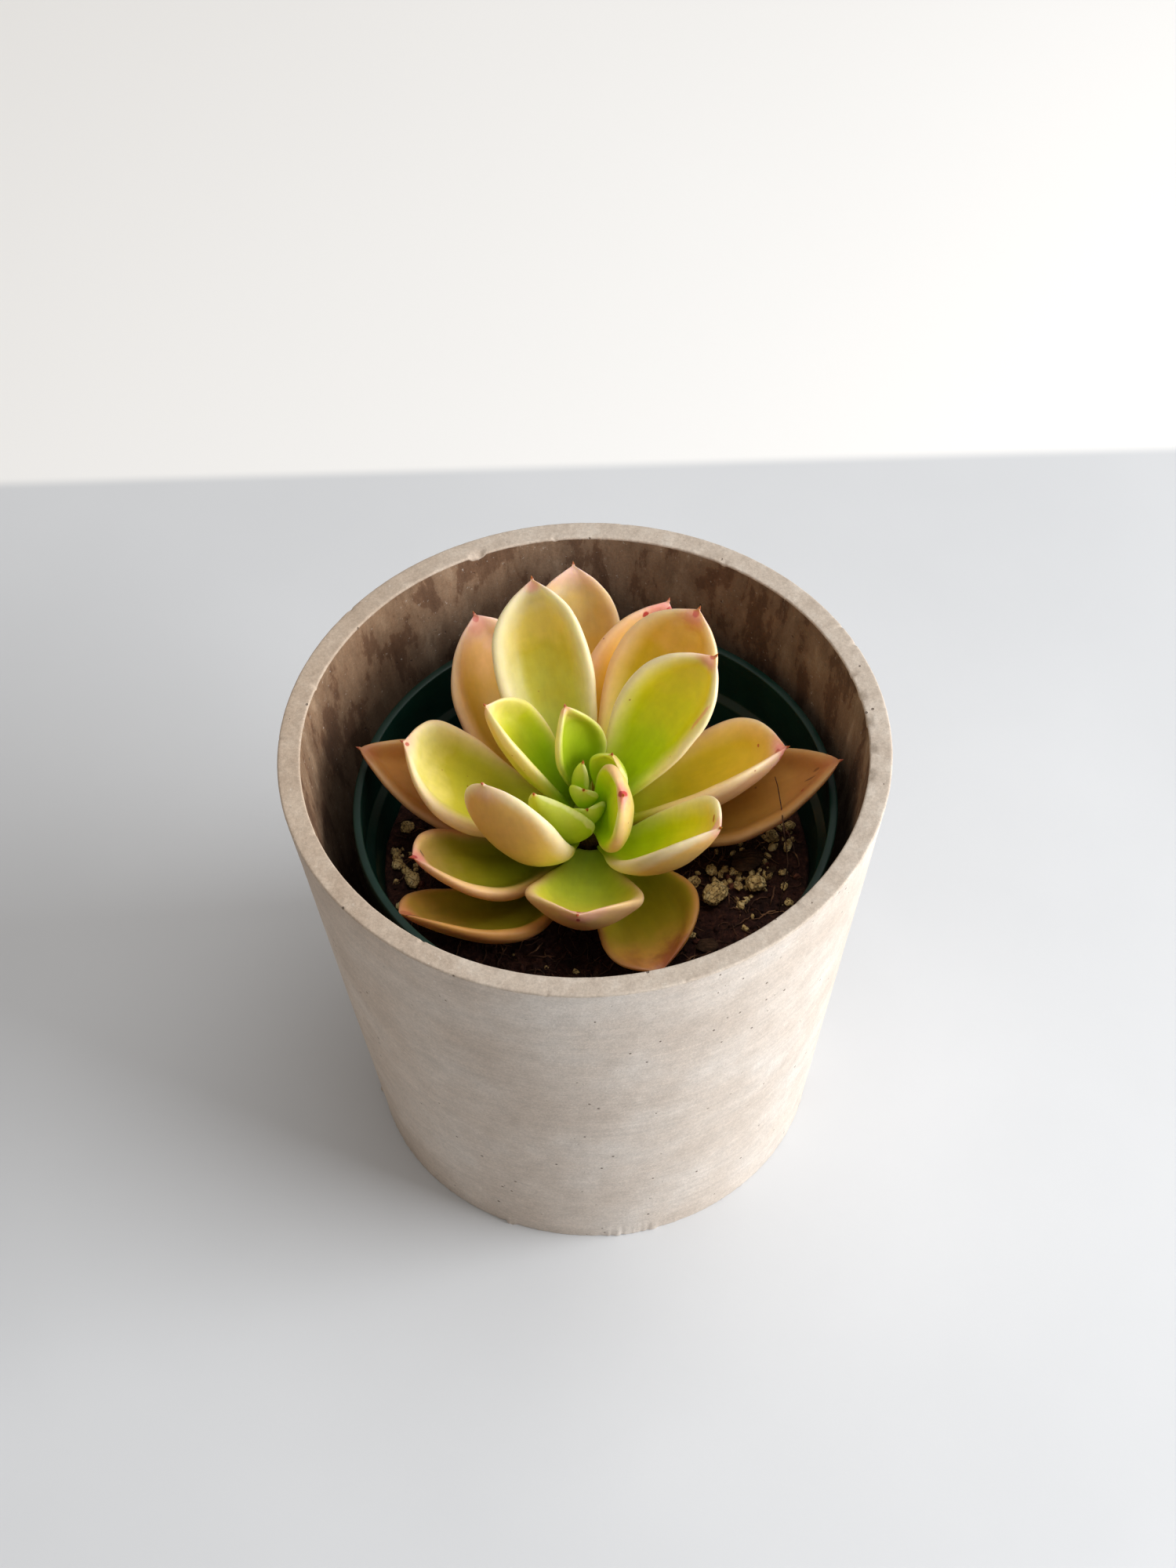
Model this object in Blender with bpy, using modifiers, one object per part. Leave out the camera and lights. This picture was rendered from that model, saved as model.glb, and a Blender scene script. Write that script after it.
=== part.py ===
"""A fleshy rosette succulent in a plastic nursery pot, standing inside a tapered stone-look outer pot.

Blender 4.5, metres, +Z up. The origin is the centre of the outer pot's underside.
Run with: blender --background --python part.py
"""

import math

import bmesh
import bpy
from mathutils import Vector, noise

MM = 0.001

# Outer pot: a tapered stone-look shell with a flat rim and one drain hole
POT_TOP_R = 65.0 * MM
POT_BASE_R = 50.8 * MM
POT_HEIGHT = 115.0 * MM
POT_WALL = 4.8 * MM
POT_FLOOR = 6.5 * MM
POT_EDGE_ROUND = 0.6 * MM
POT_HOLE_R = 6.0 * MM
POT_STEPS = 64

# Nursery pot: a thin shell with a stacking shoulder under its rim and six drain holes
LINER_X = 1.9 * MM
LINER_RIM_R = 52.4 * MM
LINER_BASE_R = 38.0 * MM
LINER_BOTTOM_Z = 7.0 * MM
LINER_RIM_Z = 95.7 * MM
LINER_LIP = 2.4 * MM
LINER_BAND = 14.5 * MM
LINER_BAND_R = LINER_RIM_R - 1.0 * MM
LINER_LEDGE = 2.2 * MM
LINER_WALL = 0.8 * MM
LINER_EDGE_ROUND = 0.4 * MM
LINER_FOOT_ROUND = 1.0 * MM
LINER_CENTRE_HOLE_R = 5.0 * MM
LINER_STEPS = 64
LINER_HOLES = 6
LINER_HOLE_R = 3.2 * MM
LINER_HOLE_RING_R = 24.0 * MM

# Soil
GAP = 0.3 * MM
SOIL_Z = 75.0 * MM
SOIL_BUMP = 0.7 * MM
SOIL_BUMP_SIZE = 9.0 * MM
SOIL_RINGS = 12
SOIL_STEPS = 40

# Plant: a short stem standing in the soil, its leaves rising from just outside it
STEM_X, STEM_Y = 0.5 * MM, 1.5 * MM
STEM_R = 3.0 * MM
STEM_TIP_R = 0.7 * MM
STEM_DEPTH = 14.0 * MM
STEM_HEIGHT = 22.0 * MM
STEM_STEPS = 20
LEAF_ROOT_R = 5.0 * MM
LEAF_ROOT_TOP_R = 3.0 * MM
LEAF_TAPER_FROM = 12.0 * MM
LEAF_TAPER_TO = 20.0 * MM

# A leaf's outline: share of its length, then half width as a share of the widest half width
BLUNT = ((0.0, 0.22), (0.12, 0.38), (0.30, 0.70), (0.48, 0.93), (0.62, 1.0), (0.76, 0.95),
         (0.87, 0.74), (0.94, 0.44), (0.98, 0.16), (1.0, 0.0))
ACUTE = ((0.0, 0.22), (0.12, 0.38), (0.30, 0.74), (0.46, 0.97), (0.56, 1.0), (0.70, 0.90),
         (0.83, 0.63), (0.93, 0.32), (0.98, 0.12), (1.0, 0.0))
# Its thickness: share of its length, then share of the full thickness
THICKNESS = ((0.0, 0.42), (0.15, 0.66), (0.40, 1.0), (0.65, 0.95), (0.85, 0.62), (0.95, 0.34), (1.0, 0.0))
LEAF_RINGS = 12
LEAF_SIDES = 12

# name: outline, height of its root above the soil (mm), azimuth (deg, 0 = +X, 90 = +Y), lift of the
# root-to-tip line (deg), length (mm), width (mm), thickness (mm), sag of the midrib below that line and
# its sideways bow (shares of the length), cup (rise of the margins, share of the half width), roll (deg)
LEAVES = {
    "leaf_outer_right": (ACUTE, 6, 2, 24, 54, 22, 6.0, 0.09, 0.02, 0.22, 3),
    "leaf_outer_left": (ACUTE, 3.5, 168, 27, 51, 20, 6.0, 0.05, 0.00, 0.30, -10),
    "leaf_outer_back": (BLUNT, 2.5, 93.5, 38, 59, 23.5, 6.0, 0.20, 0.02, 0.45, -20),
    "leaf_outer_back_left": (BLUNT, 6.5, 122, 38.5, 51, 22, 6.0, 0.18, 0.02, 0.27, 6),
    "leaf_outer_back_right": (BLUNT, 8.5, 65, 36.5, 49.5, 16.5, 5.5, 0.12, 0.08, 0.05, 30),
    "leaf_front_left_lowest": (BLUNT, 2.5, 211, 14.5, 44.5, 24, 6.0, 0.10, 0.18, 0.22, 19),
    "leaf_front_right_lowest": (BLUNT, 3.5, 290, 9, 37, 23, 5.0, 0.02, 0.10, 0.30, 11),
    "leaf_front_left_low": (BLUNT, 5.5, 205, 26.5, 41, 21.5, 6.5, 0.07, 0.07, 0.20, 4),
    "leaf_front_low": (BLUNT, 6.5, 265.5, 34, 40, 25, 6.0, 0.13, 0.02, 0.36, -2),
    "leaf_mid_right": (BLUNT, 10.5, 5, 28, 43, 26.5, 6.5, 0.05, 0.04, 0.45, -20),
    "leaf_mid_back_right": (BLUNT, 12.2, 48.5, 48, 49, 24, 6.5, 0.12, 0.05, 0.25, 6),
    "leaf_mid_left": (BLUNT, 11, 174, 36, 42.5, 25, 6.5, 0.10, 0.01, 0.14, -2),
    "leaf_mid_front_right": (BLUNT, 7.5, 318.5, 45, 44, 21.5, 6.5, 0.05, -0.06, 0.45, 2),
    "leaf_mid_back_left": (BLUNT, 10.5, 107, 53, 52.5, 22, 7.0, 0.01, 0.01, 0.50, -28),
    "leaf_upper_back_right": (BLUNT, 14.5, 24, 54.5, 45, 20, 6.5, 0.01, 0.03, 0.55, 22),
    "leaf_upper_front_left": (BLUNT, 8, 211, 59, 40, 21.5, 6.5, 0.16, 0.06, 0.15, 31),
    "leaf_upper_left": (BLUNT, 14.5, 158, 55.5, 33, 15.5, 6.0, 0.01, -0.03, 0.50, 12),
    "leaf_inner_back": (ACUTE, 17, 122, 80, 26, 12.5, 5.0, 0.01, -0.04, 0.45, 2),
    "leaf_inner_front_right": (BLUNT, 15, 296, 63, 27, 18.5, 7.0, 0.01, -0.01, 0.12, 70),
    "leaf_inner_front_left": (BLUNT, 15.5, 232, 53, 20.5, 12, 4.2, 0.05, 0.0, 0.30, 0),
    "leaf_heart_right": (BLUNT, 19, 6, 82, 15, 10.5, 4.0, 0.07, -0.03, 0.40, 45),
    "leaf_heart_left": (ACUTE, 20.5, 228, 84, 13.5, 4.0, 2.6, 0.01, -0.04, 0.40, -15),
    "leaf_heart_front": (ACUTE, 21, 258, 66, 11.5, 4.0, 2.2, 0.02, -0.02, 0.25, 0),
    "leaf_heart_low": (BLUNT, 18.5, 263.5, 60, 11.5, 5.6, 2.6, 0.06, -0.02, 0.33, -10),
}

# Pumice and bark lying on the soil. name: x, y, length, width, height (mm), turn about Z (deg)
PEBBLES = {
    "pumice_1": (27.5, -12.0, 7.4, 5.2, 4.2, 50),
    "pumice_2": (36.5, -9.4, 4.6, 4.0, 3.4, 10),
    "pumice_3": (32.6, -9.4, 2.8, 2.2, 2.0, 110),
    "pumice_4": (27.0, -5.4, 3.4, 3.0, 2.6, 60),
    "pumice_5": (23.2, -8.3, 3.4, 3.0, 2.6, 20),
    "pumice_6": (41.0, 4.2, 4.4, 2.8, 2.4, 100),
    "pumice_7": (44.3, 1.2, 4.0, 2.0, 2.0, 75),
    "pumice_8": (44.9, 6.9, 3.2, 2.4, 2.2, 0),
    "pumice_9": (42.8, -9.4, 2.8, 1.6, 1.6, 80),
    "pumice_10": (-40.0, 9.6, 3.6, 3.2, 2.8, 30),
    "pumice_11": (-38.7, -5.2, 5.0, 3.4, 3.0, 95),
    "pumice_12": (-42.0, -0.6, 3.0, 2.6, 2.2, 40),
    "pumice_13": (-41.6, -11.6, 2.2, 1.8, 1.6, 70),
    "bark_1": (35.2, -2.6, 8.0, 6.0, 2.0, 25),
    "bark_2": (25.3, -25.0, 5.4, 4.0, 1.6, 10),
    "bark_3": (40.1, -5.2, 3.8, 1.8, 1.4, 45),
    "bark_4": (1.0, -32.0, 4.0, 1.6, 1.4, 80),
}


def clear_scene():
    for obj in list(bpy.data.objects):
        bpy.data.objects.remove(obj)


def material(name, colour, roughness):
    mat = bpy.data.materials.new(name)
    mat.use_nodes = True
    shader = mat.node_tree.nodes["Principled BSDF"]
    shader.inputs["Base Color"].default_value = (*colour, 1.0)
    shader.inputs["Roughness"].default_value = roughness
    shader.inputs["Metallic"].default_value = 0.0
    return mat


def smooth_value(points, s):
    """The height at s of a smooth curve through points, by cubic pieces that never overshoot below zero."""
    for i in range(len(points) - 1):
        (x0, y0), (x1, y1) = points[i], points[i + 1]
        if s <= x1:
            break
    before = points[max(i - 1, 0)]
    after = points[min(i + 2, len(points) - 1)]
    slope0 = (y1 - before[1]) / (x1 - before[0])
    slope1 = (after[1] - y0) / (after[0] - x0)
    h = x1 - x0
    t = (s - x0) / h
    value = ((2 * t**3 - 3 * t**2 + 1) * y0 + (t**3 - 2 * t**2 + t) * h * slope0
             + (3 * t**2 - 2 * t**3) * y1 + (t**3 - t**2) * h * slope1)
    return max(value, 0.0)


def leaf_mesh(name, outline, length, width, thickness, sag, bow, cup):
    """A closed leaf along +X with its upper face towards +Z, from a sphere whose poles are base and tip."""
    bm = bmesh.new()
    bmesh.ops.create_uvsphere(bm, u_segments=LEAF_SIDES, v_segments=LEAF_RINGS, radius=1.0)
    for vert in bm.verts:
        ring = round(math.acos(max(-1.0, min(1.0, vert.co.z))) / math.pi * LEAF_RINGS)
        around = math.atan2(vert.co.y, vert.co.x)
        is_base_pole = ring == 0
        share = 1.0 - (1.0 - max(ring - 1, 0) / (LEAF_RINGS - 1)) ** 1.3
        half_width = 0.0 if is_base_pole else 0.5 * width * smooth_value(outline, share)
        depth = 0.0 if is_base_pole else thickness * smooth_value(THICKNESS, share)
        across, up = math.cos(around), math.sin(around)
        bulge = (0.3 if up > 0 else -0.7) * abs(up) ** 0.8 * depth
        x = length * share
        arch = length * math.sin(math.pi * share)
        y = bow * arch + half_width * across
        z = -sag * arch + cup * half_width * across**2 + bulge
        vert.co = Vector((x, y, z))
    bmesh.ops.reverse_faces(bm, faces=bm.faces)
    mesh = bpy.data.meshes.new(name)
    bm.to_mesh(mesh)
    bm.free()
    mesh.shade_smooth()
    return mesh


def add_object(name, data, collection, mat, parent=None):
    obj = bpy.data.objects.new(name, data)
    collection.objects.link(obj)
    data.materials.append(mat)
    obj.parent = parent
    return obj


def turned(name, profile, steps, collection, mat):
    """A closed solid from a closed outline of (radius, height) points, turned round Z with a Screw modifier."""
    mesh = bpy.data.meshes.new(name)
    count = len(profile)
    edges = [(i, (i + 1) % count) for i in range(count)]
    mesh.from_pydata([(r, 0.0, z) for r, z in profile], edges, [])
    obj = add_object(name, mesh, collection, mat)
    screw = obj.modifiers.new("turn", "SCREW")
    screw.steps = screw.render_steps = steps
    screw.use_merge_vertices = True
    screw.merge_threshold = 0.00001
    screw.use_smooth_shade = True
    return obj


def build_outer_pot(collection):
    slope = (POT_TOP_R - POT_BASE_R) / POT_HEIGHT
    inner_top = POT_TOP_R - POT_WALL
    inner_floor = inner_top - slope * (POT_HEIGHT - POT_FLOOR)
    e = POT_EDGE_ROUND
    profile = [(inner_top + e, POT_HEIGHT), (POT_TOP_R - e, POT_HEIGHT), (POT_TOP_R, POT_HEIGHT - e),
               (POT_BASE_R, e), (POT_BASE_R - e, 0.0), (POT_HOLE_R, 0.0), (POT_HOLE_R, POT_FLOOR),
               (inner_floor - 2 * e, POT_FLOOR), (inner_floor, POT_FLOOR + 2 * e), (inner_top, POT_HEIGHT - e)]
    stone = material("stone_composite", (0.55, 0.48, 0.41), 0.8)
    return turned("outer_pot", profile, POT_STEPS, collection, stone)


def liner_inner_radius(z):
    """The nursery pot's inner wall radius at a height below its shoulder."""
    share = (z - LINER_BOTTOM_Z - LINER_WALL) / (LINER_RIM_Z - LINER_BAND - LINER_BOTTOM_Z - LINER_WALL)
    low = LINER_BASE_R - LINER_FOOT_ROUND - LINER_WALL
    high = LINER_BAND_R - LINER_LEDGE - LINER_WALL
    return low + share * (high - low)


def build_nursery_pot(collection):
    w = LINER_WALL
    band = LINER_BAND_R
    lip_z = LINER_RIM_Z - LINER_LIP
    shoulder_z = LINER_RIM_Z - LINER_BAND
    body = band - LINER_LEDGE
    foot = LINER_BASE_R - LINER_FOOT_ROUND
    e = LINER_EDGE_ROUND
    profile = [(band - w + e, LINER_RIM_Z), (LINER_RIM_R - e, LINER_RIM_Z), (LINER_RIM_R, LINER_RIM_Z - e),
               (LINER_RIM_R, lip_z), (band, lip_z - e), (band - e, shoulder_z), (body, shoulder_z - e),
               (LINER_BASE_R, LINER_BOTTOM_Z + LINER_FOOT_ROUND), (foot, LINER_BOTTOM_Z),
               (LINER_CENTRE_HOLE_R, LINER_BOTTOM_Z), (LINER_CENTRE_HOLE_R, LINER_BOTTOM_Z + w),
               (foot - w, LINER_BOTTOM_Z + w), (body - w, shoulder_z), (band - e - w, shoulder_z + w),
               (band - w, LINER_RIM_Z - e)]
    plastic = material("green_plastic", (0.008, 0.075, 0.06), 0.4)
    obj = turned("nursery_pot", profile, LINER_STEPS, collection, plastic)
    obj.location.x = LINER_X
    return obj


def cut_drain_holes(pot, cutters):
    """Cuts the ring of small drain holes in the nursery pot's floor."""
    for i in range(LINER_HOLES):
        angle = 2 * math.pi * i / LINER_HOLES
        bpy.ops.mesh.primitive_cylinder_add(vertices=16, radius=LINER_HOLE_R, depth=6 * MM, location=(
            LINER_X + LINER_HOLE_RING_R * math.cos(angle), LINER_HOLE_RING_R * math.sin(angle), LINER_BOTTOM_Z))
        cutter = bpy.context.object
        cutter.name = f"drain_cutter_{i + 1}"
        for owner in list(cutter.users_collection):
            owner.objects.unlink(cutter)
        cutters.objects.link(cutter)
        cutter.hide_render = True
        cutter.display_type = "WIRE"
        cut = pot.modifiers.new(f"drain_{i + 1}", "BOOLEAN")
        cut.operation = "DIFFERENCE"
        cut.object = cutter


def stem_profile(grow=0.0):
    """The stem's half outline from tip to foot, larger all over by grow."""
    return [(0.0, STEM_HEIGHT + grow), (STEM_TIP_R + grow, STEM_HEIGHT - STEM_TIP_R + grow),
            (STEM_R * 0.45 + grow, LEAF_TAPER_TO - 2 * MM), (STEM_R + grow, LEAF_TAPER_FROM),
            (STEM_R + grow, -STEM_DEPTH + 1 * MM), (STEM_R - 1 * MM, -STEM_DEPTH - grow),
            (0.0, -STEM_DEPTH - grow)]


def build_stem(collection, plant):
    profile = stem_profile()
    mesh = bpy.data.meshes.new("stem")
    mesh.from_pydata([(r, 0.0, z) for r, z in profile], [(i, i + 1) for i in range(len(profile) - 1)], [])
    obj = add_object("stem", mesh, collection, material("stem", (0.22, 0.17, 0.09), 0.7), plant)
    screw = obj.modifiers.new("turn", "SCREW")
    screw.steps = screw.render_steps = STEM_STEPS
    screw.use_merge_vertices = True
    screw.merge_threshold = 0.00001
    screw.use_smooth_shade = True
    return obj


def soil_height(x, y):
    return SOIL_Z + SOIL_BUMP * noise.noise(Vector((x, y, 0.0)) / SOIL_BUMP_SIZE)


def ring(bm, cx, cy, radius, height):
    """A ring of vertices round (cx, cy); height is a number or a function of x and y."""
    verts = []
    for i in range(SOIL_STEPS):
        angle = 2 * math.pi * i / SOIL_STEPS
        x, y = cx + radius * math.cos(angle), cy + radius * math.sin(angle)
        verts.append(bm.verts.new((x, y, height(x, y) if callable(height) else height)))
    return verts


def bridge(bm, rings):
    for lower, upper in zip(rings, rings[1:]):
        for i in range(SOIL_STEPS):
            j = (i + 1) % SOIL_STEPS
            bm.faces.new((lower[i], lower[j], upper[j], upper[i]))


def build_soil(collection):
    """The soil fills the nursery pot to just under its wall and leaves a socket for the stem."""
    bottom = LINER_BOTTOM_Z + LINER_WALL + GAP
    top_r = liner_inner_radius(SOIL_Z - SOIL_BUMP) - GAP
    bottom_r = liner_inner_radius(bottom) - GAP
    socket = STEM_R + GAP
    bm = bmesh.new()
    rings = [ring(bm, STEM_X, STEM_Y, socket, SOIL_Z - STEM_DEPTH - GAP)]
    for k in range(SOIL_RINGS + 1):
        share = k / SOIL_RINGS
        cx, cy = STEM_X + (LINER_X - STEM_X) * share, STEM_Y * (1.0 - share)
        rings.append(ring(bm, cx, cy, socket + (top_r - socket) * share, soil_height))
    rings.append(ring(bm, LINER_X, 0.0, bottom_r, bottom))
    bridge(bm, rings)
    bm.faces.new(rings[0])
    bm.faces.new(rings[-1])
    bmesh.ops.recalc_face_normals(bm, faces=bm.faces)
    mesh = bpy.data.meshes.new("soil")
    bm.to_mesh(mesh)
    bm.free()
    mesh.shade_smooth()
    return add_object("soil", mesh, collection, material("soil", (0.025, 0.015, 0.010), 0.95))


def pebble_mesh(name, length, width, height, seed):
    """A rough lump from an icosphere, its base at z = 0."""
    bm = bmesh.new()
    bmesh.ops.create_icosphere(bm, subdivisions=2, radius=0.5)
    for vert in bm.verts:
        dent = 1.0 + 0.22 * noise.noise(vert.co * 3.0 + Vector((seed, 0.0, 0.0)))
        vert.co = Vector((vert.co.x * length, vert.co.y * width, vert.co.z * height)) * dent
    lowest = min(vert.co.z for vert in bm.verts)
    for vert in bm.verts:
        vert.co.z -= lowest
    mesh = bpy.data.meshes.new(name)
    bm.to_mesh(mesh)
    bm.free()
    mesh.shade_smooth()
    return mesh


def build_pebbles(collection):
    pumice = material("pumice", (0.45, 0.38, 0.25), 0.9)
    bark = material("bark", (0.12, 0.055, 0.025), 0.85)
    for seed, (name, (x, y, length, width, height, turn)) in enumerate(PEBBLES.items()):
        mesh = pebble_mesh(name, length * MM, width * MM, height * MM, seed * 7.3)
        obj = add_object(name, mesh, collection, bark if name.startswith("bark") else pumice)
        reach = 0.3 * length * MM
        spots = [(x * MM + dx, y * MM + dy) for dx in (-reach, 0.0, reach) for dy in (-reach, 0.0, reach)]
        rest = max(soil_height(px, py) for px, py in spots)
        obj.location = (x * MM, y * MM, rest + GAP)
        obj.rotation_euler.z = math.radians(turn)


def root_radius(height):
    """How far from the stem's axis a leaf's root stands, less near the tip of the stem."""
    share = (height - LEAF_TAPER_FROM) / (LEAF_TAPER_TO - LEAF_TAPER_FROM)
    return LEAF_ROOT_R + (LEAF_ROOT_TOP_R - LEAF_ROOT_R) * max(0.0, min(1.0, share))


def build_leaves(collection, plant):
    mat = material("leaf", (0.45, 0.42, 0.10), 0.45)
    for name, (outline, height, azimuth, lift, length, width, thick, sag, bow, cup, roll) in LEAVES.items():
        mesh = leaf_mesh(name, outline, length * MM, width * MM, thick * MM, sag, bow, cup)
        obj = add_object(name, mesh, collection, mat, plant)
        around = math.radians(azimuth)
        radius = root_radius(height * MM)
        obj.location = (radius * math.cos(around), radius * math.sin(around), height * MM)
        obj.rotation_euler = (math.radians(roll), -math.radians(lift), around)


def main():
    clear_scene()
    parts = bpy.data.collections.new("potted_succulent")
    cutters = bpy.data.collections.new("cutters")
    bpy.context.scene.collection.children.link(parts)
    bpy.context.scene.collection.children.link(cutters)
    plant = bpy.data.objects.new("plant", None)
    parts.objects.link(plant)
    plant.location = (STEM_X, STEM_Y, SOIL_Z)
    build_outer_pot(parts)
    cut_drain_holes(build_nursery_pot(parts), cutters)
    build_soil(parts)
    build_pebbles(parts)
    build_stem(parts, plant)
    build_leaves(parts, plant)


main()
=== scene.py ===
import math
import random

import bmesh
import bpy
import numpy as np
from mathutils import Euler, Matrix, Vector, noise


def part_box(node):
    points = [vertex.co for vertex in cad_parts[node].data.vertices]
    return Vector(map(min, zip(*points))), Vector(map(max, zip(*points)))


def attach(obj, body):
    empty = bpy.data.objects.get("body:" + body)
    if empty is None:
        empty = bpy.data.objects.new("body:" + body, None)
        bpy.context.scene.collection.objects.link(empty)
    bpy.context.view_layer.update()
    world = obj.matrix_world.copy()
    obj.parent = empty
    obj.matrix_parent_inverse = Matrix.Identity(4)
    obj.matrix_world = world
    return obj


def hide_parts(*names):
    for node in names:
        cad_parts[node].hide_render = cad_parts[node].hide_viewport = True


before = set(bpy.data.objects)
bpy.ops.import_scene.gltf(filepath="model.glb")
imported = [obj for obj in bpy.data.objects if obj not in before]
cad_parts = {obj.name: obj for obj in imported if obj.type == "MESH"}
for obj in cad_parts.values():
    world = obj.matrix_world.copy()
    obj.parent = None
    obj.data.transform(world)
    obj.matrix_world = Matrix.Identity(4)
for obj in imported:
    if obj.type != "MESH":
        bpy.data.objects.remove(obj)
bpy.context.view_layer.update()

MM = 0.001
TAU = 2 * math.pi

# Outer pot: a turned stone-composite cup with a flat rim.
POT_TOP_R, POT_BASE_R, POT_HEIGHT = 65 * MM, 50.8 * MM, 115 * MM
POT_WALL, POT_FLOOR, POT_HOLE_R = 4.8 * MM, 6.5 * MM, 6 * MM
POT_EDGE_ROUND, POT_CHIP_REACH = 0.4 * MM, 1.6 * MM
POT_AROUND = 1024

# Nursery pot standing inside it.
LINER_X = 1.9 * MM
LINER_RIM_R, LINER_BASE_R = 52.4 * MM, 38 * MM
LINER_BOTTOM_Z, LINER_RIM_Z = 7 * MM, 95.7 * MM
LINER_LIP, LINER_BAND, LINER_BAND_R = 2.4 * MM, 14.5 * MM, 51.4 * MM
LINER_LEDGE, LINER_WALL = 2.2 * MM, 0.8 * MM
LINER_FOOT_ROUND, LINER_EDGE_ROUND = 4 * MM, 0.28 * MM
DRAIN_HOLES, DRAIN_RING_R, DRAIN_R = 6, 24 * MM, 3.2 * MM
LINER_AROUND = 384

SOIL_Z = 75 * MM
SOIL_TOP_R, SOIL_BASE_R, SOIL_DEPTH = 46.9 * MM, 36 * MM, 64 * MM
SOIL_RINGS, SOIL_AROUND = 110, 300
STEM_X, STEM_Y = 0.5 * MM, 1.5 * MM

# Leaf outlines: half-widths as shares of the widest, against the share of the length.
BLUNT = ((0, 0.22), (0.12, 0.38), (0.3, 0.7), (0.48, 0.93), (0.62, 1),
         (0.76, 0.95), (0.87, 0.74), (0.94, 0.44), (0.98, 0.16), (1, 0))
ACUTE = ((0, 0.22), (0.12, 0.38), (0.3, 0.74), (0.46, 0.97), (0.56, 1),
         (0.7, 0.9), (0.83, 0.63), (0.93, 0.32), (0.98, 0.12), (1, 0))
THICKNESS = ((0, 0.42), (0.15, 0.66), (0.4, 1), (0.65, 0.95), (0.85, 0.62), (0.95, 0.34), (1, 0))
LEAF_ROOT_R, LEAF_ROOT_TOP_R = 5.0, 3.0
LEAF_TAPER_FROM, LEAF_TAPER_TO = 12.0, 20.0
LEAF_RINGS, LEAF_POINT_RINGS, LEAF_AROUND = 64, 5, 56
LEAF_POINT_LENGTH, LEAF_POINT_R = 0.9, 0.34
# The share of a leaf's thickness on each side of its middle, and how its cup levels out towards the margin.
LEAF_UPPER, LEAF_LOWER = 0.42, -0.58
LEAF_LEVEL_FROM, LEAF_LEVEL = 0.72, 2.2

# Each leaf, named less its "leaf_": outline, root height above the soil, azimuth, lift, length, width, thickness,
# sag, bow, cup and roll, in mm and degrees.
LEAVES = {
    "outer_right": (ACUTE, 6, 2, 24, 54, 22, 6, 0.09, 0.02, 0.22, 3),
    "outer_left": (ACUTE, 3.5, 168, 27, 51, 20, 6, 0.05, 0, 0.3, -10),
    "outer_back": (BLUNT, 2.5, 92, 38, 59, 23.5, 6, 0.2, 0.02, 0.35, 4),
    "outer_back_left": (BLUNT, 6.5, 122, 38.5, 51, 22, 6, 0.18, 0.02, 0.27, 6),
    "outer_back_right": (BLUNT, 8.5, 65, 36.5, 49.5, 16.5, 5.5, 0.12, 0.08, 0.05, 30),
    "front_left_lowest": (BLUNT, 2.5, 211, 14.5, 44.5, 24, 6, 0.1, 0.18, 0.22, 19),
    "front_right_lowest": (BLUNT, 3.5, 290, 9, 37, 23, 5, 0.02, 0.1, 0.3, 11),
    "front_left_low": (BLUNT, 5.5, 205, 26.5, 41, 21.5, 6.5, 0.07, 0.07, 0.2, 4),
    "front_low": (BLUNT, 6.5, 265.5, 34, 40, 25, 6, 0.13, 0.02, 0.36, -2),
    "mid_right": (BLUNT, 10.5, 5, 28, 43, 26.5, 6.5, 0.05, 0.04, 0.45, -20),
    "mid_back_right": (BLUNT, 12.2, 48.5, 48, 49, 24, 6.5, 0.12, 0.05, 0.25, 6),
    "mid_left": (BLUNT, 11, 174, 36, 42.5, 25, 6.5, 0.1, 0.01, 0.14, -2),
    "mid_front_right": (BLUNT, 7.5, 318.5, 45, 44, 21.5, 6.5, 0.05, -0.06, 0.45, 2),
    "mid_back_left": (BLUNT, 10.5, 107, 53, 52.5, 22, 7, 0.01, 0.01, 0.5, -28),
    "upper_back_right": (BLUNT, 14.5, 24, 54.5, 45, 20, 6.5, 0.01, 0.03, 0.55, 22),
    "upper_front_left": (BLUNT, 8, 211, 59, 40, 21.5, 6.5, 0.16, 0.06, 0.15, 31),
    "upper_left": (BLUNT, 14.5, 158, 55.5, 33, 15.5, 6, 0.01, -0.03, 0.5, 12),
    "inner_back": (ACUTE, 17, 122, 80, 26, 12.5, 5, 0.01, -0.04, 0.45, 2),
    "inner_front_right": (BLUNT, 15, 296, 63, 27, 18.5, 7, 0.01, -0.01, 0.12, 70),
    "inner_front_left": (ACUTE, 11.5, 221, 66, 25, 14, 5, 0.08, 0.12, 0.25, 24),
    "heart_right": (BLUNT, 19, 6, 82, 15, 9.8, 4, 0.07, -0.03, 0.4, 45),
    "heart_left": (ACUTE, 20.5, 228, 97, 13, 5.4, 2.6, 0.01, -0.08, 0.4, -30),
    "heart_front": (ACUTE, 20.6, 262, 70, 11.5, 6.6, 2.6, 0.02, -0.06, 0.45, -14),
    "heart_low": (ACUTE, 17.6, 268, 60, 12.6, 9, 3.2, 0.05, -0.02, 0.45, 12),
}


# ---- node graphs

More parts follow.
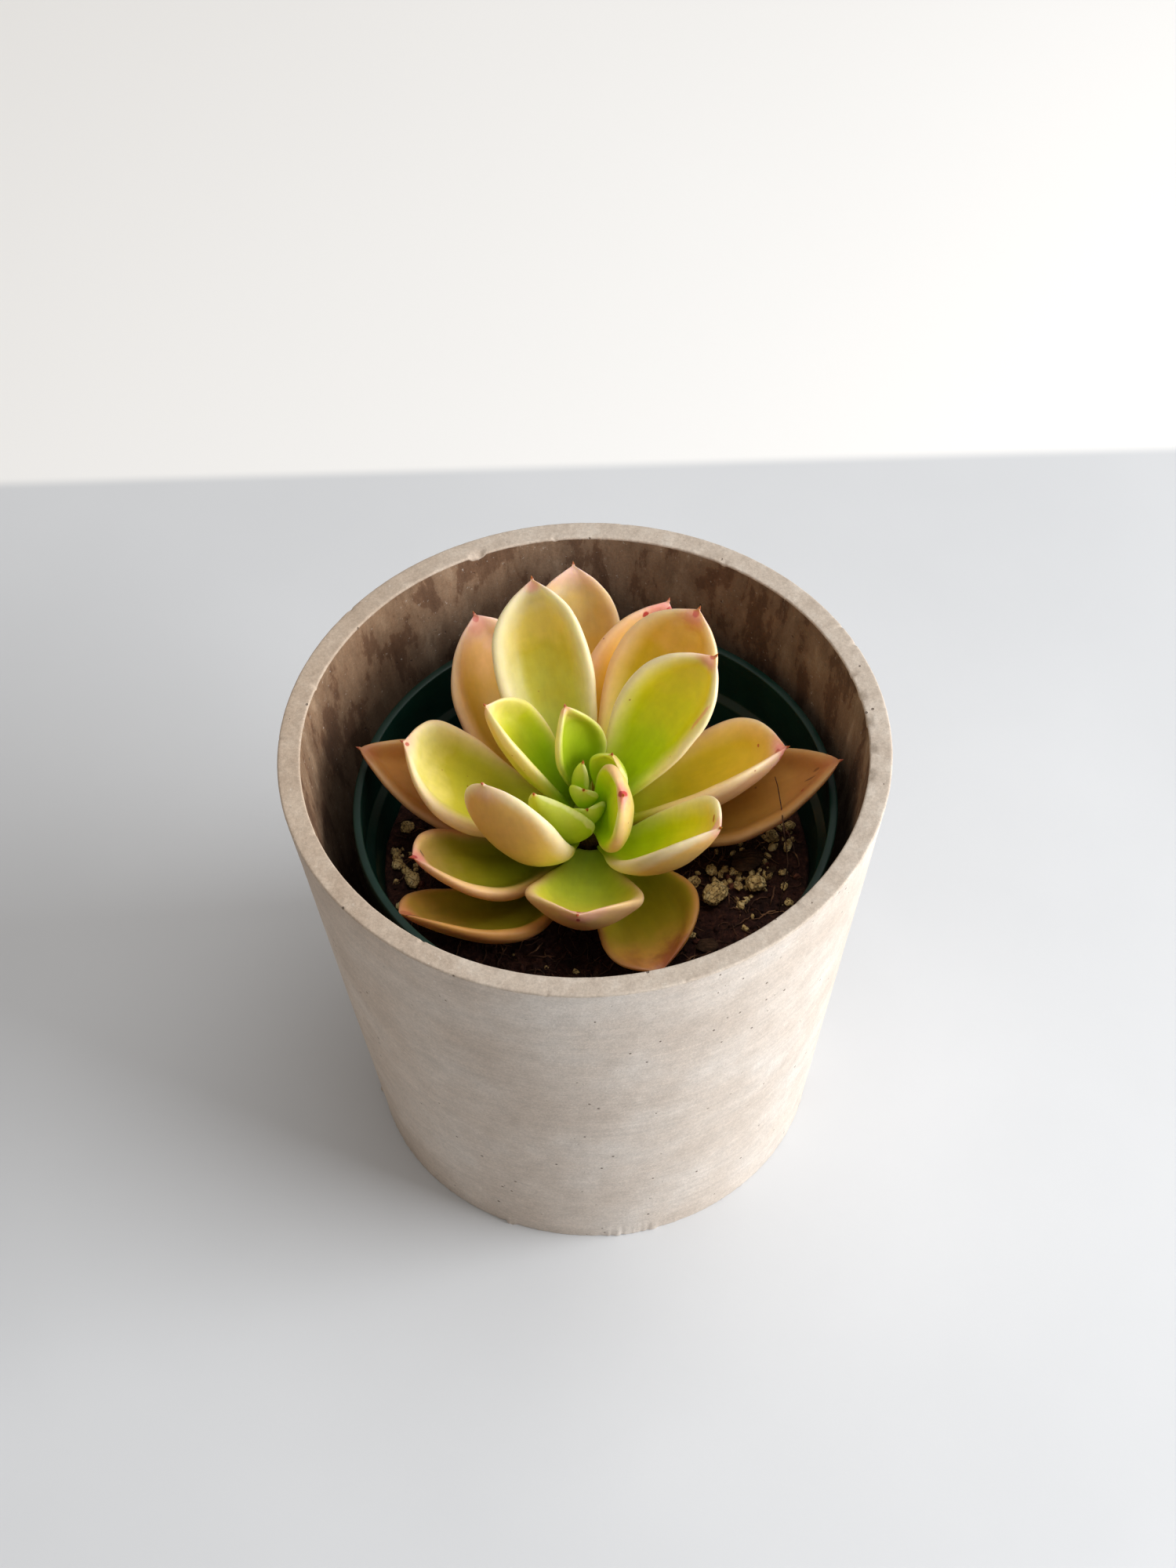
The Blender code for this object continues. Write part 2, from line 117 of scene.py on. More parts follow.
class Graph:
    """A Principled material and short calls for the nodes that feed it."""

    def __init__(self, name, **uniform):
        self.material = bpy.data.materials.new(name)
        self.material.use_nodes = True
        self.tree = self.material.node_tree
        self.tree.nodes.clear()
        self.shader = self.node("BsdfPrincipled")
        output = self.node("OutputMaterial")
        self.link(self.shader.outputs["BSDF"], output.inputs["Surface"])
        for key, value in uniform.items():
            self.shader.inputs[key.replace("_", " ")].default_value = value
        self.place = self.node("TexCoord").outputs["Object"]

    def node(self, kind, numbers=None, **values):
        """A new shader node: values are its settings, numbers its inputs."""
        node = self.tree.nodes.new("ShaderNode" + kind)
        for key, value in values.items():
            setattr(node, key, value)
        for key, number in (numbers or {}).items():
            node.inputs[key].default_value = number
        return node

    def link(self, source, target):
        self.tree.links.new(source, target)

    def feed(self, target, value):
        """Links a socket to target, or sets a plain value on it."""
        if isinstance(value, bpy.types.NodeSocket):
            self.link(value, target)
        else:
            target.default_value = value

    def maths(self, operation, a, b=0.0, clamp=False):
        node = self.node("Math", operation=operation, use_clamp=clamp)
        self.feed(node.inputs[0], a)
        self.feed(node.inputs[1], b)
        return node.outputs[0]

    def times(self, a, b):
        return self.maths("MULTIPLY", a, b)

    def plus(self, a, b):
        return self.maths("ADD", a, b)

    def split(self, vector):
        """The x, y and z of a vector."""
        node = self.node("SeparateXYZ")
        self.link(vector, node.inputs[0])
        return node.outputs

    def stretch(self, vector, scale, shift=(0, 0, 0)):
        node = self.node("Mapping", {"Scale": scale, "Location": shift})
        self.link(vector, node.inputs["Vector"])
        return node.outputs[0]

    def noise(self, scale, detail=4.0, rough=0.55, vector=None, warp=0.0):
        node = self.node("TexNoise", {"Scale": scale, "Detail": detail, "Roughness": rough, "Distortion": warp})
        self.link(vector or self.place, node.inputs["Vector"])
        return node.outputs["Fac"]

    def cells(self, scale, vector=None, feature="F1"):
        node = self.node("TexVoronoi", {"Scale": scale}, feature=feature)
        self.link(vector or self.place, node.inputs["Vector"])
        return node.outputs["Distance"]

    def span(self, value, low, high, to_low=0.0, to_high=1.0):
        """A smooth step of value from low to high."""
        numbers = {"From Min": low, "From Max": high, "To Min": to_low, "To Max": to_high}
        node = self.node("MapRange", numbers, interpolation_type="SMOOTHSTEP")
        self.feed(node.inputs["Value"], value)
        return node.outputs[0]

    def ramp(self, value, stops):
        """Colours along value. Each stop is (position, r, g, b)."""
        node = self.node("ValToRGB")
        self.link(value, node.inputs[0])
        elements = node.color_ramp.elements
        while len(elements) < len(stops):
            elements.new(0.5)
        for element, stop in zip(elements, stops):
            element.position = stop[0]
        for element, stop in zip(elements, stops):
            element.color = (*stop[1:], 1.0)
        return node.outputs[0]

    def mix(self, factor, a, b, blend="MIX"):
        node = self.node("Mix", data_type="RGBA", blend_type=blend)
        self.feed(node.inputs[0], factor)
        for socket, value in ((node.inputs[6], a), (node.inputs[7], b)):
            self.feed(socket, value if isinstance(value, bpy.types.NodeSocket) else (*value, 1.0))
        return node.outputs[2]

    def tint(self, colour, value, low, high):
        """Multiplies colour by a grey that runs from low to high as value runs from 0 to 1."""
        grey = self.span(value, 0.25, 0.75, low, high)
        joined = self.node("CombineColor")
        for socket in joined.inputs[:3]:
            self.link(grey, socket)
        return self.mix(1.0, colour, joined.outputs[0], "MULTIPLY")

    def attribute(self, name):
        """The three numbers of a mesh attribute."""
        return self.split(self.node("Attribute", attribute_name=name).outputs["Vector"])

    def finish(self, colour, rough, bumps=()):
        """Feeds the shader. bumps are (height, strength, distance), coarse first."""
        self.link(colour, self.shader.inputs["Base Color"])
        self.feed(self.shader.inputs["Roughness"], rough)
        normal = None
        for height, strength, distance in bumps:
            bump = self.node("Bump", {"Strength": strength, "Distance": distance})
            self.link(height, bump.inputs["Height"])
            if normal:
                self.link(normal, bump.inputs["Normal"])
            normal = bump.outputs[0]
        if normal:
            self.link(normal, self.shader.inputs["Normal"])
        return self.material


# ---- mesh helpers

def new_object(name, data):
    made = bpy.data.objects.new(name, data)
    bpy.context.scene.collection.objects.link(made)
    return made


def new_piece(name, mesh, material):
    mesh.shade_smooth()
    mesh.materials.clear()
    mesh.materials.append(material)
    piece = new_object(name, mesh)
    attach(piece, "root")
    return piece


def mesh_from(name, points, faces, fields=None):
    mesh = bpy.data.meshes.new(name)
    mesh.from_pydata([tuple(p) for p in points], [], faces)
    mesh.update()
    for key, values in (fields or {}).items():
        layer = mesh.attributes.new(key, "FLOAT_VECTOR", "POINT")
        layer.data.foreach_set("vector", np.asarray(values, dtype=np.float32).ravel())
    return mesh


def circle(count):
    """The cosine and sine of each of count steps round a circle."""
    return [(math.cos(TAU * j / count), math.sin(TAU * j / count)) for j in range(count)]


def quarter(steps, first=0):
    """The sine and cosine of each step of a quarter turn."""
    return [(math.sin(TAU / 4 * k / steps), math.cos(TAU / 4 * k / steps)) for k in range(first, steps + 1)]


def tube_faces(rings, around, closed=False):
    """Quads between each ring of points and the next, facing out for rings that climb anticlockwise."""
    faces = []
    for i in range(rings if closed else rings - 1):
        for j in range(around):
            a, b = i * around, (i + 1) % rings * around
            k = (j + 1) % around
            faces.append((a + j, a + k, b + k, b + j))
    return faces


def fan(tip, start, around, turned=False):
    """Triangles from the point tip to the ring of points that begins at start."""
    sides = [(start + j, start + (j + 1) % around) for j in range(around)]
    return [(tip, b, a) if turned else (tip, a, b) for a, b in sides]


def smooth_value(points, s):
    """The height at s of a smooth curve through points, never below zero."""
    for i in range(len(points) - 1):
        (x0, y0), (x1, y1) = points[i], points[i + 1]
        if s <= x1:
            break
    before, after = points[max(i - 1, 0)], points[min(i + 2, len(points) - 1)]
    slope0 = (y1 - before[1]) / (x1 - before[0])
    slope1 = (after[1] - y0) / (after[0] - x0)
    h = x1 - x0
    t = (s - x0) / h
    value = ((2 * t**3 - 3 * t**2 + 1) * y0 + (t**3 - 2 * t**2 + t) * h * slope0
             + (3 * t**2 - 2 * t**3) * y1 + (t**3 - t**2) * h * slope1)
    return max(value, 0.0)


def wave(x, y, z, size, seed=0.0):
    """Smooth noise of about -1 to 1 whose lumps are size across."""
    return noise.noise(Vector((x / size + seed, y / size - seed, z / size + 0.37 * seed)))


# ---- outer pot

def pot_profile():
    """(radius, height, zone) round the pot's section: 0 outside, 1 rim, 2 inside, 3 underneath."""
    slope = (POT_TOP_R - POT_BASE_R) / POT_HEIGHT
    inner_top = POT_TOP_R - POT_WALL
    inner_floor = inner_top - slope * (POT_HEIGHT - POT_FLOOR)
    e = POT_EDGE_ROUND
    points = [(POT_BASE_R - e, 0.0, 3)]
    points += [(POT_BASE_R - e + e * s, e - e * c, 0) for s, c in quarter(3, 1)]
    for k in range(1, 41):
        share = min(k, 39.92) / 40
        points.append((POT_BASE_R + (POT_TOP_R - POT_BASE_R) * share, e + (POT_HEIGHT - 2 * e) * share, 0))
    points += [(POT_TOP_R - e + e * c, POT_HEIGHT - e + e * s, 1) for s, c in quarter(4)]
    points += [(POT_TOP_R - e - (POT_WALL - 2 * e) * k / 9, POT_HEIGHT, 1) for k in range(1, 9)]
    points += [(inner_top + e - e * s, POT_HEIGHT - e + e * c, 1) for s, c in quarter(4)]
    for k in range(24):
        share = max(k, 0.04) / 24
        points.append((inner_top - (inner_top - inner_floor) * share,
                       POT_HEIGHT - e - (POT_HEIGHT - POT_FLOOR - 2 * e) * share, 2))
    points += [(inner_floor - e, POT_FLOOR, 2), (POT_HOLE_R, POT_FLOOR, 2), (POT_HOLE_R, 0.0, 3)]
    return points


def chip(angle, centre, width):
    """1 in the middle of a chip at centre degrees round the rim, falling to 0 at its ends."""
    gap = abs((math.degrees(angle) - centre + 180) % 360 - 180) / (0.5 * width)
    return max(0.0, 1.0 - gap * gap)


# Chips in the rim: degrees round, degrees wide, depth in mm, and whether on the inner edge.
RIM_CHIPS = (
    (112, 4, 1.2, True), (141, 1.6, 0.4, False), (162, 1.6, 0.6, True), (176, 1, 0.5, False),
    (201, 1.4, 0.5, True), (236, 1.2, 0.4, True), (262, 0.8, 0.35, False), (287, 1.5, 0.3, False),
    (314, 1.1, 0.4, True), (350, 4.5, 0.7, True), (357, 3, 0.9, True), (4, 3.4, 1, True), (11, 3, 0.8, True),
    (17, 2, 0.6, True), (24, 1.5, 0.5, False), (29, 1.1, 0.4, False), (58, 1.6, 0.5, True), (81, 1.4, 0.3, False),
    (95, 1, 0.5, True),
)

# Ragged moulding flash at the pot's foot: degrees round, degrees wide, and reach in mm.
BASE_FLASH = ((276, 10, 0.6), (283, 5, 0.45), (247, 4, 0.9), (20, 4, 0.7), (135, 5, 0.8), (190, 3, 0.9))


def build_outer_pot():
    profile = pot_profile()
    points, fields = [], []
    for radius, height, zone in profile:
        for j, (c, s) in enumerate(circle(POT_AROUND)):
            angle = TAU * j / POT_AROUND
            r, z = radius, height
            if zone < 3 and z > 0.05 * MM and r > 2 * POT_HOLE_R:
                fine = wave(c * r, s * r, z * 3.0, 2.2 * MM, 3.1)
                broad = wave(c * r, s * r, z, 26 * MM, 8.7)
                r += (0.035 * fine + 0.1 * broad) * MM
            if z > POT_HEIGHT - 1.0 * MM:
                z -= 0.05 * MM * (1 + wave(c * r, s * r, 0.0, 1.3 * MM, 5.0))
                from_outer, from_inner = POT_TOP_R - r, r - (POT_TOP_R - POT_WALL)
                for centre, width, depth, inner in RIM_CHIPS:
                    near = max(0.0, 1.0 - (from_inner if inner else from_outer) / POT_CHIP_REACH)
                    ragged = 0.75 + 0.6 * wave(c * r, s * r, z, 0.9 * MM, centre)
                    z -= chip(angle, centre, width) * near * depth * MM * ragged
            if z < 1.0 * MM and radius > POT_BASE_R - 1.0 * MM:
                ragged = max(0.0, 0.5 + 0.8 * wave(c * r, s * r, 0.0, 0.9 * MM, 12.0))
                r += 0.12 * MM * ragged + sum(chip(angle, a, w) * d * MM * ragged for a, w, d in BASE_FLASH)
            points.append((r * c, r * s, z))
            fields.append((zone == 1, zone == 2, zone == 3))
    faces = tube_faces(len(profile), POT_AROUND, closed=True)
    mesh = mesh_from("outer_pot_fine", points, faces, {"zone": fields})
    piece = new_piece("outer_pot_shell", mesh, pot_material())
    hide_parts("outer_pot")


def pot_material():
    g = Graph("stone_composite_skin", IOR=1.45)
    zone = g.attribute("zone")
    across = g.stretch(g.place, (55.0, 55.0, 900.0))
    upright = g.stretch(g.place, (125.0, 125.0, 48.0))
    runs = g.noise(1.0, 5.0, 0.6, g.stretch(g.place, (420.0, 420.0, 40.0)))
    streaks = g.noise(1.0, 6.0, 0.62, across)
    broad = g.noise(38.0, 5.0, 0.6)
    mottle = g.noise(240.0, 5.0, 0.6)
    grit = g.noise(1700.0, 3.0, 0.7)
    stains = g.noise(1.0, 7.0, 0.66, upright, 0.22)

    wall = g.ramp(broad, ((0.3, 0.535, 0.455, 0.385), (0.5, 0.59, 0.517, 0.45), (0.7, 0.64, 0.585, 0.53)))
    wall = g.tint(wall, streaks, 0.93, 1.06)
    wall = g.tint(wall, mottle, 0.93, 1.06)
    wall = g.tint(wall, grit, 0.88, 1.1)
    rim = g.ramp(mottle, ((0.3, 0.48, 0.4, 0.325), (0.55, 0.555, 0.475, 0.395), (0.75, 0.63, 0.56, 0.48)))
    rim = g.tint(rim, grit, 0.86, 1.12)
    inside = g.ramp(stains, ((0.38, 0.11, 0.06, 0.033), (0.455, 0.14, 0.08, 0.046),
                             (0.475, 0.195, 0.124, 0.076), (0.58, 0.235, 0.16, 0.103),
                             (0.72, 0.34, 0.255, 0.18)))
    x, _, z = g.split(g.place)
    near_rim = g.plus(g.span(z, 0.094, 0.112), g.times(stains, 0.5))
    inside = g.tint(inside, near_rim, 0.92, 1.22)
    inside = g.tint(inside, broad, 0.75, 1.18)
    inside = g.tint(inside, runs, 0.86, 1.1)
    inside = g.tint(inside, grit, 0.86, 1.12)
    colour = g.mix(zone[0], wall, rim)
    colour = g.mix(zone[1], colour, inside)
    # painted shade: towards -x, the pot's shaded left side, the colour is multiplied browner
    shaded_side_tint = g.mix(1.0, colour, (0.93, 0.86, 0.79), "MULTIPLY")
    colour = g.mix(g.span(x, 0.0, -0.062), colour, shaded_side_tint)
    pale = g.span(g.noise(900.0, 3.0, 0.7), 0.64, 0.74)
    colour = g.mix(g.times(pale, 0.45), colour, (0.78, 0.73, 0.66))
    pits = g.span(g.cells(330.0), 0.13, 0.07)
    sparse = g.span(g.noise(210.0, 2.0), 0.53, 0.6)
    pits = g.times(pits, sparse)
    colour = g.mix(g.times(pits, 0.75), colour, (0.12, 0.085, 0.06))
    rough = g.span(streaks, 0.3, 0.7, 0.72, 0.86)
    hollow = g.times(pits, -1.0)
    return g.finish(colour, rough, ((streaks, 0.12, 0.0004), (mottle, 0.18, 0.0004), (hollow, 0.8, 0.0004),
                                  (grit, 0.3, 0.0002)))


# ---- nursery pot and soil

def liner_profile():
    w, band = LINER_WALL, LINER_BAND_R
    lip_z, shoulder_z = LINER_RIM_Z - LINER_LIP, LINER_RIM_Z - LINER_BAND
    body, foot = band - LINER_LEDGE, LINER_BASE_R - LINER_FOOT_ROUND
    e, top, base = LINER_EDGE_ROUND, LINER_RIM_Z, LINER_BOTTOM_Z
    points = [(foot, base)]
    points += [(foot + LINER_FOOT_ROUND * s, base + LINER_FOOT_ROUND * (1 - c)) for s, c in quarter(5, 1)]
    points += [
        (body, shoulder_z - 2 * e), (body + 0.5 * e, shoulder_z - e), (band - 2 * e, shoulder_z),
        (band, shoulder_z + e), (band, lip_z - 2 * e), (band + e, lip_z - e), (LINER_RIM_R - e, lip_z),
        (LINER_RIM_R, lip_z + e), (LINER_RIM_R, top - e), (LINER_RIM_R - 0.3 * e, top - 0.3 * e),
        (LINER_RIM_R - e, top), (band - w + e, top), (band - w + 0.3 * e, top - 0.3 * e), (band - w, top - e),
        (band - w, shoulder_z + w + 2 * e), (band - w - e, shoulder_z + w + 0.5 * e),
        (body - w + e, shoulder_z + w - 0.5 * e), (body - w, shoulder_z + w - 2 * e),
        (foot - w, base + w), (5 * MM, base + w), (5 * MM, base)]
    return points


def build_nursery_pot():
    profile = liner_profile()
    points = []
    for radius, height in profile:
        for c, s in circle(LINER_AROUND):
            r = radius + 0.12 * MM * wave(c * radius, s * radius, height, 22 * MM, 2.0)
            points.append((LINER_X + r * c, r * s, height))
    mesh = mesh_from("nursery_pot_fine", points, tube_faces(len(profile), LINER_AROUND, closed=True))
    piece = new_piece("nursery_pot_shell", mesh, liner_material())
    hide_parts("nursery_pot")
    cut_drain_holes(piece)


def cut_drain_holes(piece):
    bm = bmesh.new()
    for c, s in circle(DRAIN_HOLES):
        spot = Matrix.Translation((LINER_X + DRAIN_RING_R * c, DRAIN_RING_R * s, LINER_BOTTOM_Z))
        bmesh.ops.create_cone(bm, cap_ends=True, segments=40, radius1=DRAIN_R, radius2=DRAIN_R, depth=6 * MM,
                              matrix=spot)
    mesh = bpy.data.meshes.new("drain_cutter")
    bm.to_mesh(mesh)
    bm.free()
    cutter = new_object("drain_cutter", mesh)
    cut = piece.modifiers.new("drain", "BOOLEAN")
    cut.operation, cut.object = "DIFFERENCE", cutter
    view = bpy.context.evaluated_depsgraph_get()
    made = bpy.data.meshes.new_from_object(piece.evaluated_get(view))
    piece.modifiers.clear()
    piece.data = made
    bpy.data.objects.remove(cutter)


def liner_material():
    g = Graph("green_plastic_skin", IOR=1.43)
    scuffs = g.noise(1.0, 4.0, 0.6, g.stretch(g.place, (160.0, 160.0, 1200.0)))
    dust = g.noise(420.0, 5.0, 0.65)
    colour = g.ramp(g.noise(60.0), ((0.35, 0.0012, 0.017, 0.0115), (0.65, 0.0022, 0.028, 0.019)))
    colour = g.mix(g.span(dust, 0.6, 0.75, 0.0, 0.14), colour, (0.05, 0.042, 0.03))
    rough = g.span(scuffs, 0.3, 0.7, 0.3, 0.52)
    return g.finish(colour, rough, ((scuffs, 0.1, 0.0002), (dust, 0.1, 0.0002)))


def soil_surface(x, y):
    """The height of the soil's crust above the frame's origin."""
    lump = 0.9 * wave(x, y, 0.0, 9 * MM, 1.0) + 1.1 * abs(wave(x, y, 0.0, 3.6 * MM, 6.0))
    crumb = 0.4 * wave(x, y, 0.0, 1.5 * MM, 9.0) + 0.18 * wave(x, y, 0.0, 0.7 * MM, 4.0)
    return SOIL_Z + (lump + crumb) * MM


def build_soil():
    rings, around = SOIL_RINGS, SOIL_AROUND
    points = []
    for i in range(1, rings + 1):
        r = SOIL_TOP_R * i / rings
        for c, s in circle(around):
            x, y = LINER_X + r * c, r * s
            points.append((x, y, soil_surface(x, y) - (0.9 * MM if i == rings else 0.0)))
    for drop, r in ((12 * MM, SOIL_TOP_R - 1.2 * MM), (SOIL_DEPTH, SOIL_BASE_R)):
        points += [(LINER_X + r * c, r * s, SOIL_Z - drop) for c, s in circle(around)]
    total = rings + 2
    faces = [tuple(reversed(f)) for f in tube_faces(total, around)]
    points += [(LINER_X, 0.0, soil_surface(LINER_X, 0.0)), (LINER_X, 0.0, SOIL_Z - SOIL_DEPTH)]
    centre, bottom = total * around, total * around + 1
    faces += fan(centre, 0, around) + fan(bottom, (total - 1) * around, around, turned=True)
    mesh = mesh_from("soil_fine", points, faces)
    piece = new_piece("soil_fill", mesh, soil_material("soil_skin", 1.0))
    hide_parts("soil")


def soil_material(name, lightness):
    g = Graph(name, IOR=1.4)
    fine = g.noise(900.0, 6.0, 0.7)
    broad = g.noise(170.0, 4.0, 0.6)
    colour = g.ramp(fine, ((0.3, 0.016, 0.005, 0.0036), (0.52, 0.045, 0.0135, 0.0085),
                           (0.66, 0.1, 0.036, 0.018), (0.8, 0.21, 0.105, 0.05)))
    colour = g.tint(colour, broad, 0.45 * lightness, 1.5 * lightness)
    return g.finish(colour, g.span(fine, 0.3, 0.7, 0.95, 0.78), ((broad, 0.6, 0.0012), (fine, 0.9, 0.0008)))


def lump_into(points, faces, centre, size, seed, detail=1, rough=0.35):
    """Adds an angular crumb to the lists."""
    bm = bmesh.new()
    bmesh.ops.create_icosphere(bm, subdivisions=detail, radius=1.0)
    turn = Euler((seed * 1.7, seed * 2.9, seed * 4.3)).to_matrix()
    start = len(points)
    for vert in bm.verts:
        out = vert.co * (1.0 + rough * noise.noise(vert.co * 1.8 + Vector((seed, 0, 0))))
        out = turn @ Vector((out.x * size[0], out.y * size[1], out.z * size[2]))
        points.append(tuple(centre + out))
    faces.extend(tuple(start + v.index for v in f.verts) for f in bm.faces)
    bm.free()


# Loose matter on the soil: count, biggest size in mm, and how light it is beside the soil.
CRUMBS = {"soil_crumbs": (1500, 1.15, 1.0), "soil_wood_bits": (150, 1.4, 3.2)}
# Heaps of pumice grains: x, y and spread in mm, and count.
GRIT_HEAPS = ((34, -7, 8.5, 60), (42, 4, 4, 14), (-40, 0, 6.5, 34), (20, -28, 10, 14), (-8, -36, 10, 12))
FIBRES, DRY_ROOTS = 640, 46


def build_soil_crumbs():
    rng = random.Random(41)
    for name, (count, biggest, lightness) in CRUMBS.items():
        points, faces = [], []
        for k in range(count):
            r, a = (SOIL_TOP_R - 1.6 * MM) * math.sqrt(rng.random()), rng.random() * TAU
            x, y = LINER_X + r * math.cos(a), r * math.sin(a)
            size = biggest * MM * (0.25 + 0.75 * rng.random() ** 2.2)
            shape = (size, size * rng.uniform(0.5, 0.9), size * rng.uniform(0.35, 0.8))
            place = Vector((x, y, soil_surface(x, y) + 0.15 * size))
            lump_into(points, faces, place, shape, k * 0.731, 2 if size > 0.7 * MM else 1)
        new_piece(name, mesh_from(name, points, faces), soil_material(name + "_skin", lightness))


def build_pumice_grit(material):
    """Small pumice grains lying round the larger lumps."""
    rng = random.Random(9)
    points, faces = [], []
    for cx, cy, spread, count in GRIT_HEAPS:
        for k in range(count):
            x, y = (cx + rng.gauss(0, spread * 0.6)) * MM, (cy + rng.gauss(0, spread * 0.6)) * MM
            if math.hypot(x - LINER_X, y) > SOIL_TOP_R - 1.8 * MM:
                continue
            size = rng.uniform(0.35, 1.25) * MM
            shape = (size, size * rng.uniform(0.6, 0.9), size * rng.uniform(0.5, 0.8))
            place = Vector((x, y, soil_surface(x, y) + 0.35 * size))
            lump_into(points, faces, place, shape, k * 0.917, 2, 0.6)
    new_piece("pumice_grit", mesh_from("pumice_grit", points, faces), material)


def strand_into(points, faces, path, radius, around=6):
    """Adds a thin closed tube along path, tapering at both ends."""
    start = len(points)
    for i, spot in enumerate(path):
        ahead = path[min(i + 1, len(path) - 1)] - path[max(i - 1, 0)]
        ahead.normalize()
        side = ahead.orthogonal().normalized()
        up = ahead.cross(side)
        share = i / (len(path) - 1)
        r = radius * (0.35 + 0.65 * math.sin(math.pi * min(max(share, 0.06), 0.94)) ** 0.4)
        points += [tuple(spot + (side * c + up * s) * r) for c, s in circle(around)]
    end = len(points)
    points += [tuple(path[0]), tuple(path[-1])]
    faces.extend(tuple(start + v for v in f) for f in tube_faces(len(path), around))
    faces += fan(end, start, around, turned=True) + fan(end + 1, end - around, around)


def build_soil_fibres():
    rng = random.Random(17)
    points, faces = [], []
    for _ in range(FIBRES):
        r, a = (SOIL_TOP_R - 4 * MM) * math.sqrt(rng.random()), rng.random() * TAU
        x, y = LINER_X + r * math.cos(a), r * math.sin(a)
        heading, length = rng.random() * TAU, rng.uniform(2.5, 9) * MM
        bend, path = rng.uniform(-1.6, 1.6), []
        for k in range(9):
            above = (0.15 + 0.7 * math.sin(math.pi * k / 8) * rng.random()) * MM
            path.append(Vector((x, y, soil_surface(x, y) + above)))
            heading += bend / 9 + rng.uniform(-0.25, 0.25)
            x += length / 9 * math.cos(heading)
            y += length / 9 * math.sin(heading)
            if math.hypot(x - LINER_X, y) > SOIL_TOP_R - 1.0 * MM:
                break
        if len(path) > 3:
            strand_into(points, faces, path, rng.uniform(0.07, 0.2) * MM)
    new_piece("soil_fibres", mesh_from("soil_fibres", points, faces), fibre_material("soil_fibres_skin", 3.0))


def fibre_material(name, lightness):
    g = Graph(name, IOR=1.4)
    tone = g.noise(260.0, 4.0)
    colour = g.ramp(tone, ((0.35, 0.016, 0.008, 0.005), (0.6, 0.055, 0.024, 0.012), (0.75, 0.15, 0.08, 0.038)))
    colour = g.tint(colour, g.noise(1200.0, 3.0), 0.7 * lightness, 1.2 * lightness)
    return g.finish(colour, g.span(tone, 0.3, 0.7, 0.9, 0.7), ((g.noise(2500.0), 0.5, 0.0002),))


# ---- loose pieces on the soil

def finer(node, levels):
    """A subdivided copy of a node's mesh."""
    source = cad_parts[node].data.copy()
    bm = bmesh.new()
    bm.from_mesh(source)
    bmesh.ops.remove_doubles(bm, verts=bm.verts, dist=1e-6)
    bm.to_mesh(source)
    bm.free()
    helper = new_object("helper", source)
    more = helper.modifiers.new("fine", "SUBSURF")
    more.levels = more.render_levels = levels
    view = bpy.context.evaluated_depsgraph_get()
    mesh = bpy.data.meshes.new_from_object(helper.evaluated_get(view))
    bpy.data.objects.remove(helper)
    return mesh


def roughen(mesh, size, depth, seed, pit=0.0):
    """Moves each point along its normal by noise of two sizes, with round pits."""
    normals = [v.normal.copy() for v in mesh.vertices]
    for vert, normal in zip(mesh.vertices, normals):
        x, y, z = vert.co
        move = depth * (wave(x, y, z, size * 1.6, seed) + 0.5 * wave(x, y, z, size * 0.4, seed + 3)
                        - 1.4 * max(0.0, 0.25 - abs(wave(x, y, z, size, seed + 8))))
        if pit:
            near = noise.voronoi(Vector((x, y, z)) / (1.1 * MM) + Vector((seed, 0, 0)))[0][0]
            move -= pit * max(0.0, 1.0 - near / 0.42) ** 0.6
        vert.co += normal * move
    mesh.update()


def pumice_material():
    g = Graph("pumice_skin", IOR=1.4)
    tone = g.noise(420.0, 5.0, 0.65)
    holes = g.span(g.cells(1500.0), 0.35, 0.12)
    colour = g.ramp(tone, ((0.3, 0.36, 0.21, 0.07), (0.5, 0.92, 0.66, 0.27), (0.66, 0.97, 0.78, 0.4),
                           (0.8, 0.95, 0.82, 0.55)))
    colour = g.mix(g.times(holes, 0.7), colour, (0.07, 0.035, 0.014))
    colour = g.mix(g.span(g.noise(150.0, 3.0), 0.58, 0.68, 0.0, 0.5), colour, (0.1, 0.055, 0.022))
    veins = g.span(g.cells(560.0, feature="DISTANCE_TO_EDGE"), 0.1, 0.02, 0.0, 0.6)
    colour = g.mix(veins, colour, (0.16, 0.075, 0.022))
    rough = g.span(tone, 0.3, 0.7, 0.95, 0.85)
    return g.finish(colour, rough, ((g.times(holes, -1.0), 0.9, 0.0004), (tone, 0.5, 0.0005)))


def bark_material(name="bark_skin", lightness=1.0):
    g = Graph(name, IOR=1.4)
    grain = g.noise(1.0, 5.0, 0.65, g.stretch(g.place, (260.0, 1500.0, 900.0)))
    colour = g.ramp(grain, ((0.3, 0.022, 0.01, 0.005), (0.55, 0.075, 0.036, 0.016), (0.75, 0.19, 0.105, 0.05)))
    colour = g.tint(colour, g.noise(200.0), 0.6 * lightness, 1.3 * lightness)
    return g.finish(colour, g.span(grain, 0.3, 0.7, 0.9, 0.72), ((grain, 0.8, 0.0006),))


def build_pebbles():
    pumice, bark = pumice_material(), bark_material()
    build_pumice_grit(pumice)
    nodes = sorted(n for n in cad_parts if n.startswith(("pumice", "bark")))
    for seed, node in enumerate(nodes):
        stone = node.startswith("pumice")
        mesh = finer(node, 3)
        size, depth, pit = (1.6, 0.42, 0.32) if stone else (1.2, 0.3, 0.0)
        roughen(mesh, size * MM, depth * MM, seed * 2.3, pit * MM)
        piece = new_piece(node + "_fine", mesh, pumice if stone else bark)
        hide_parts(node)


# ---- stem and dry strands

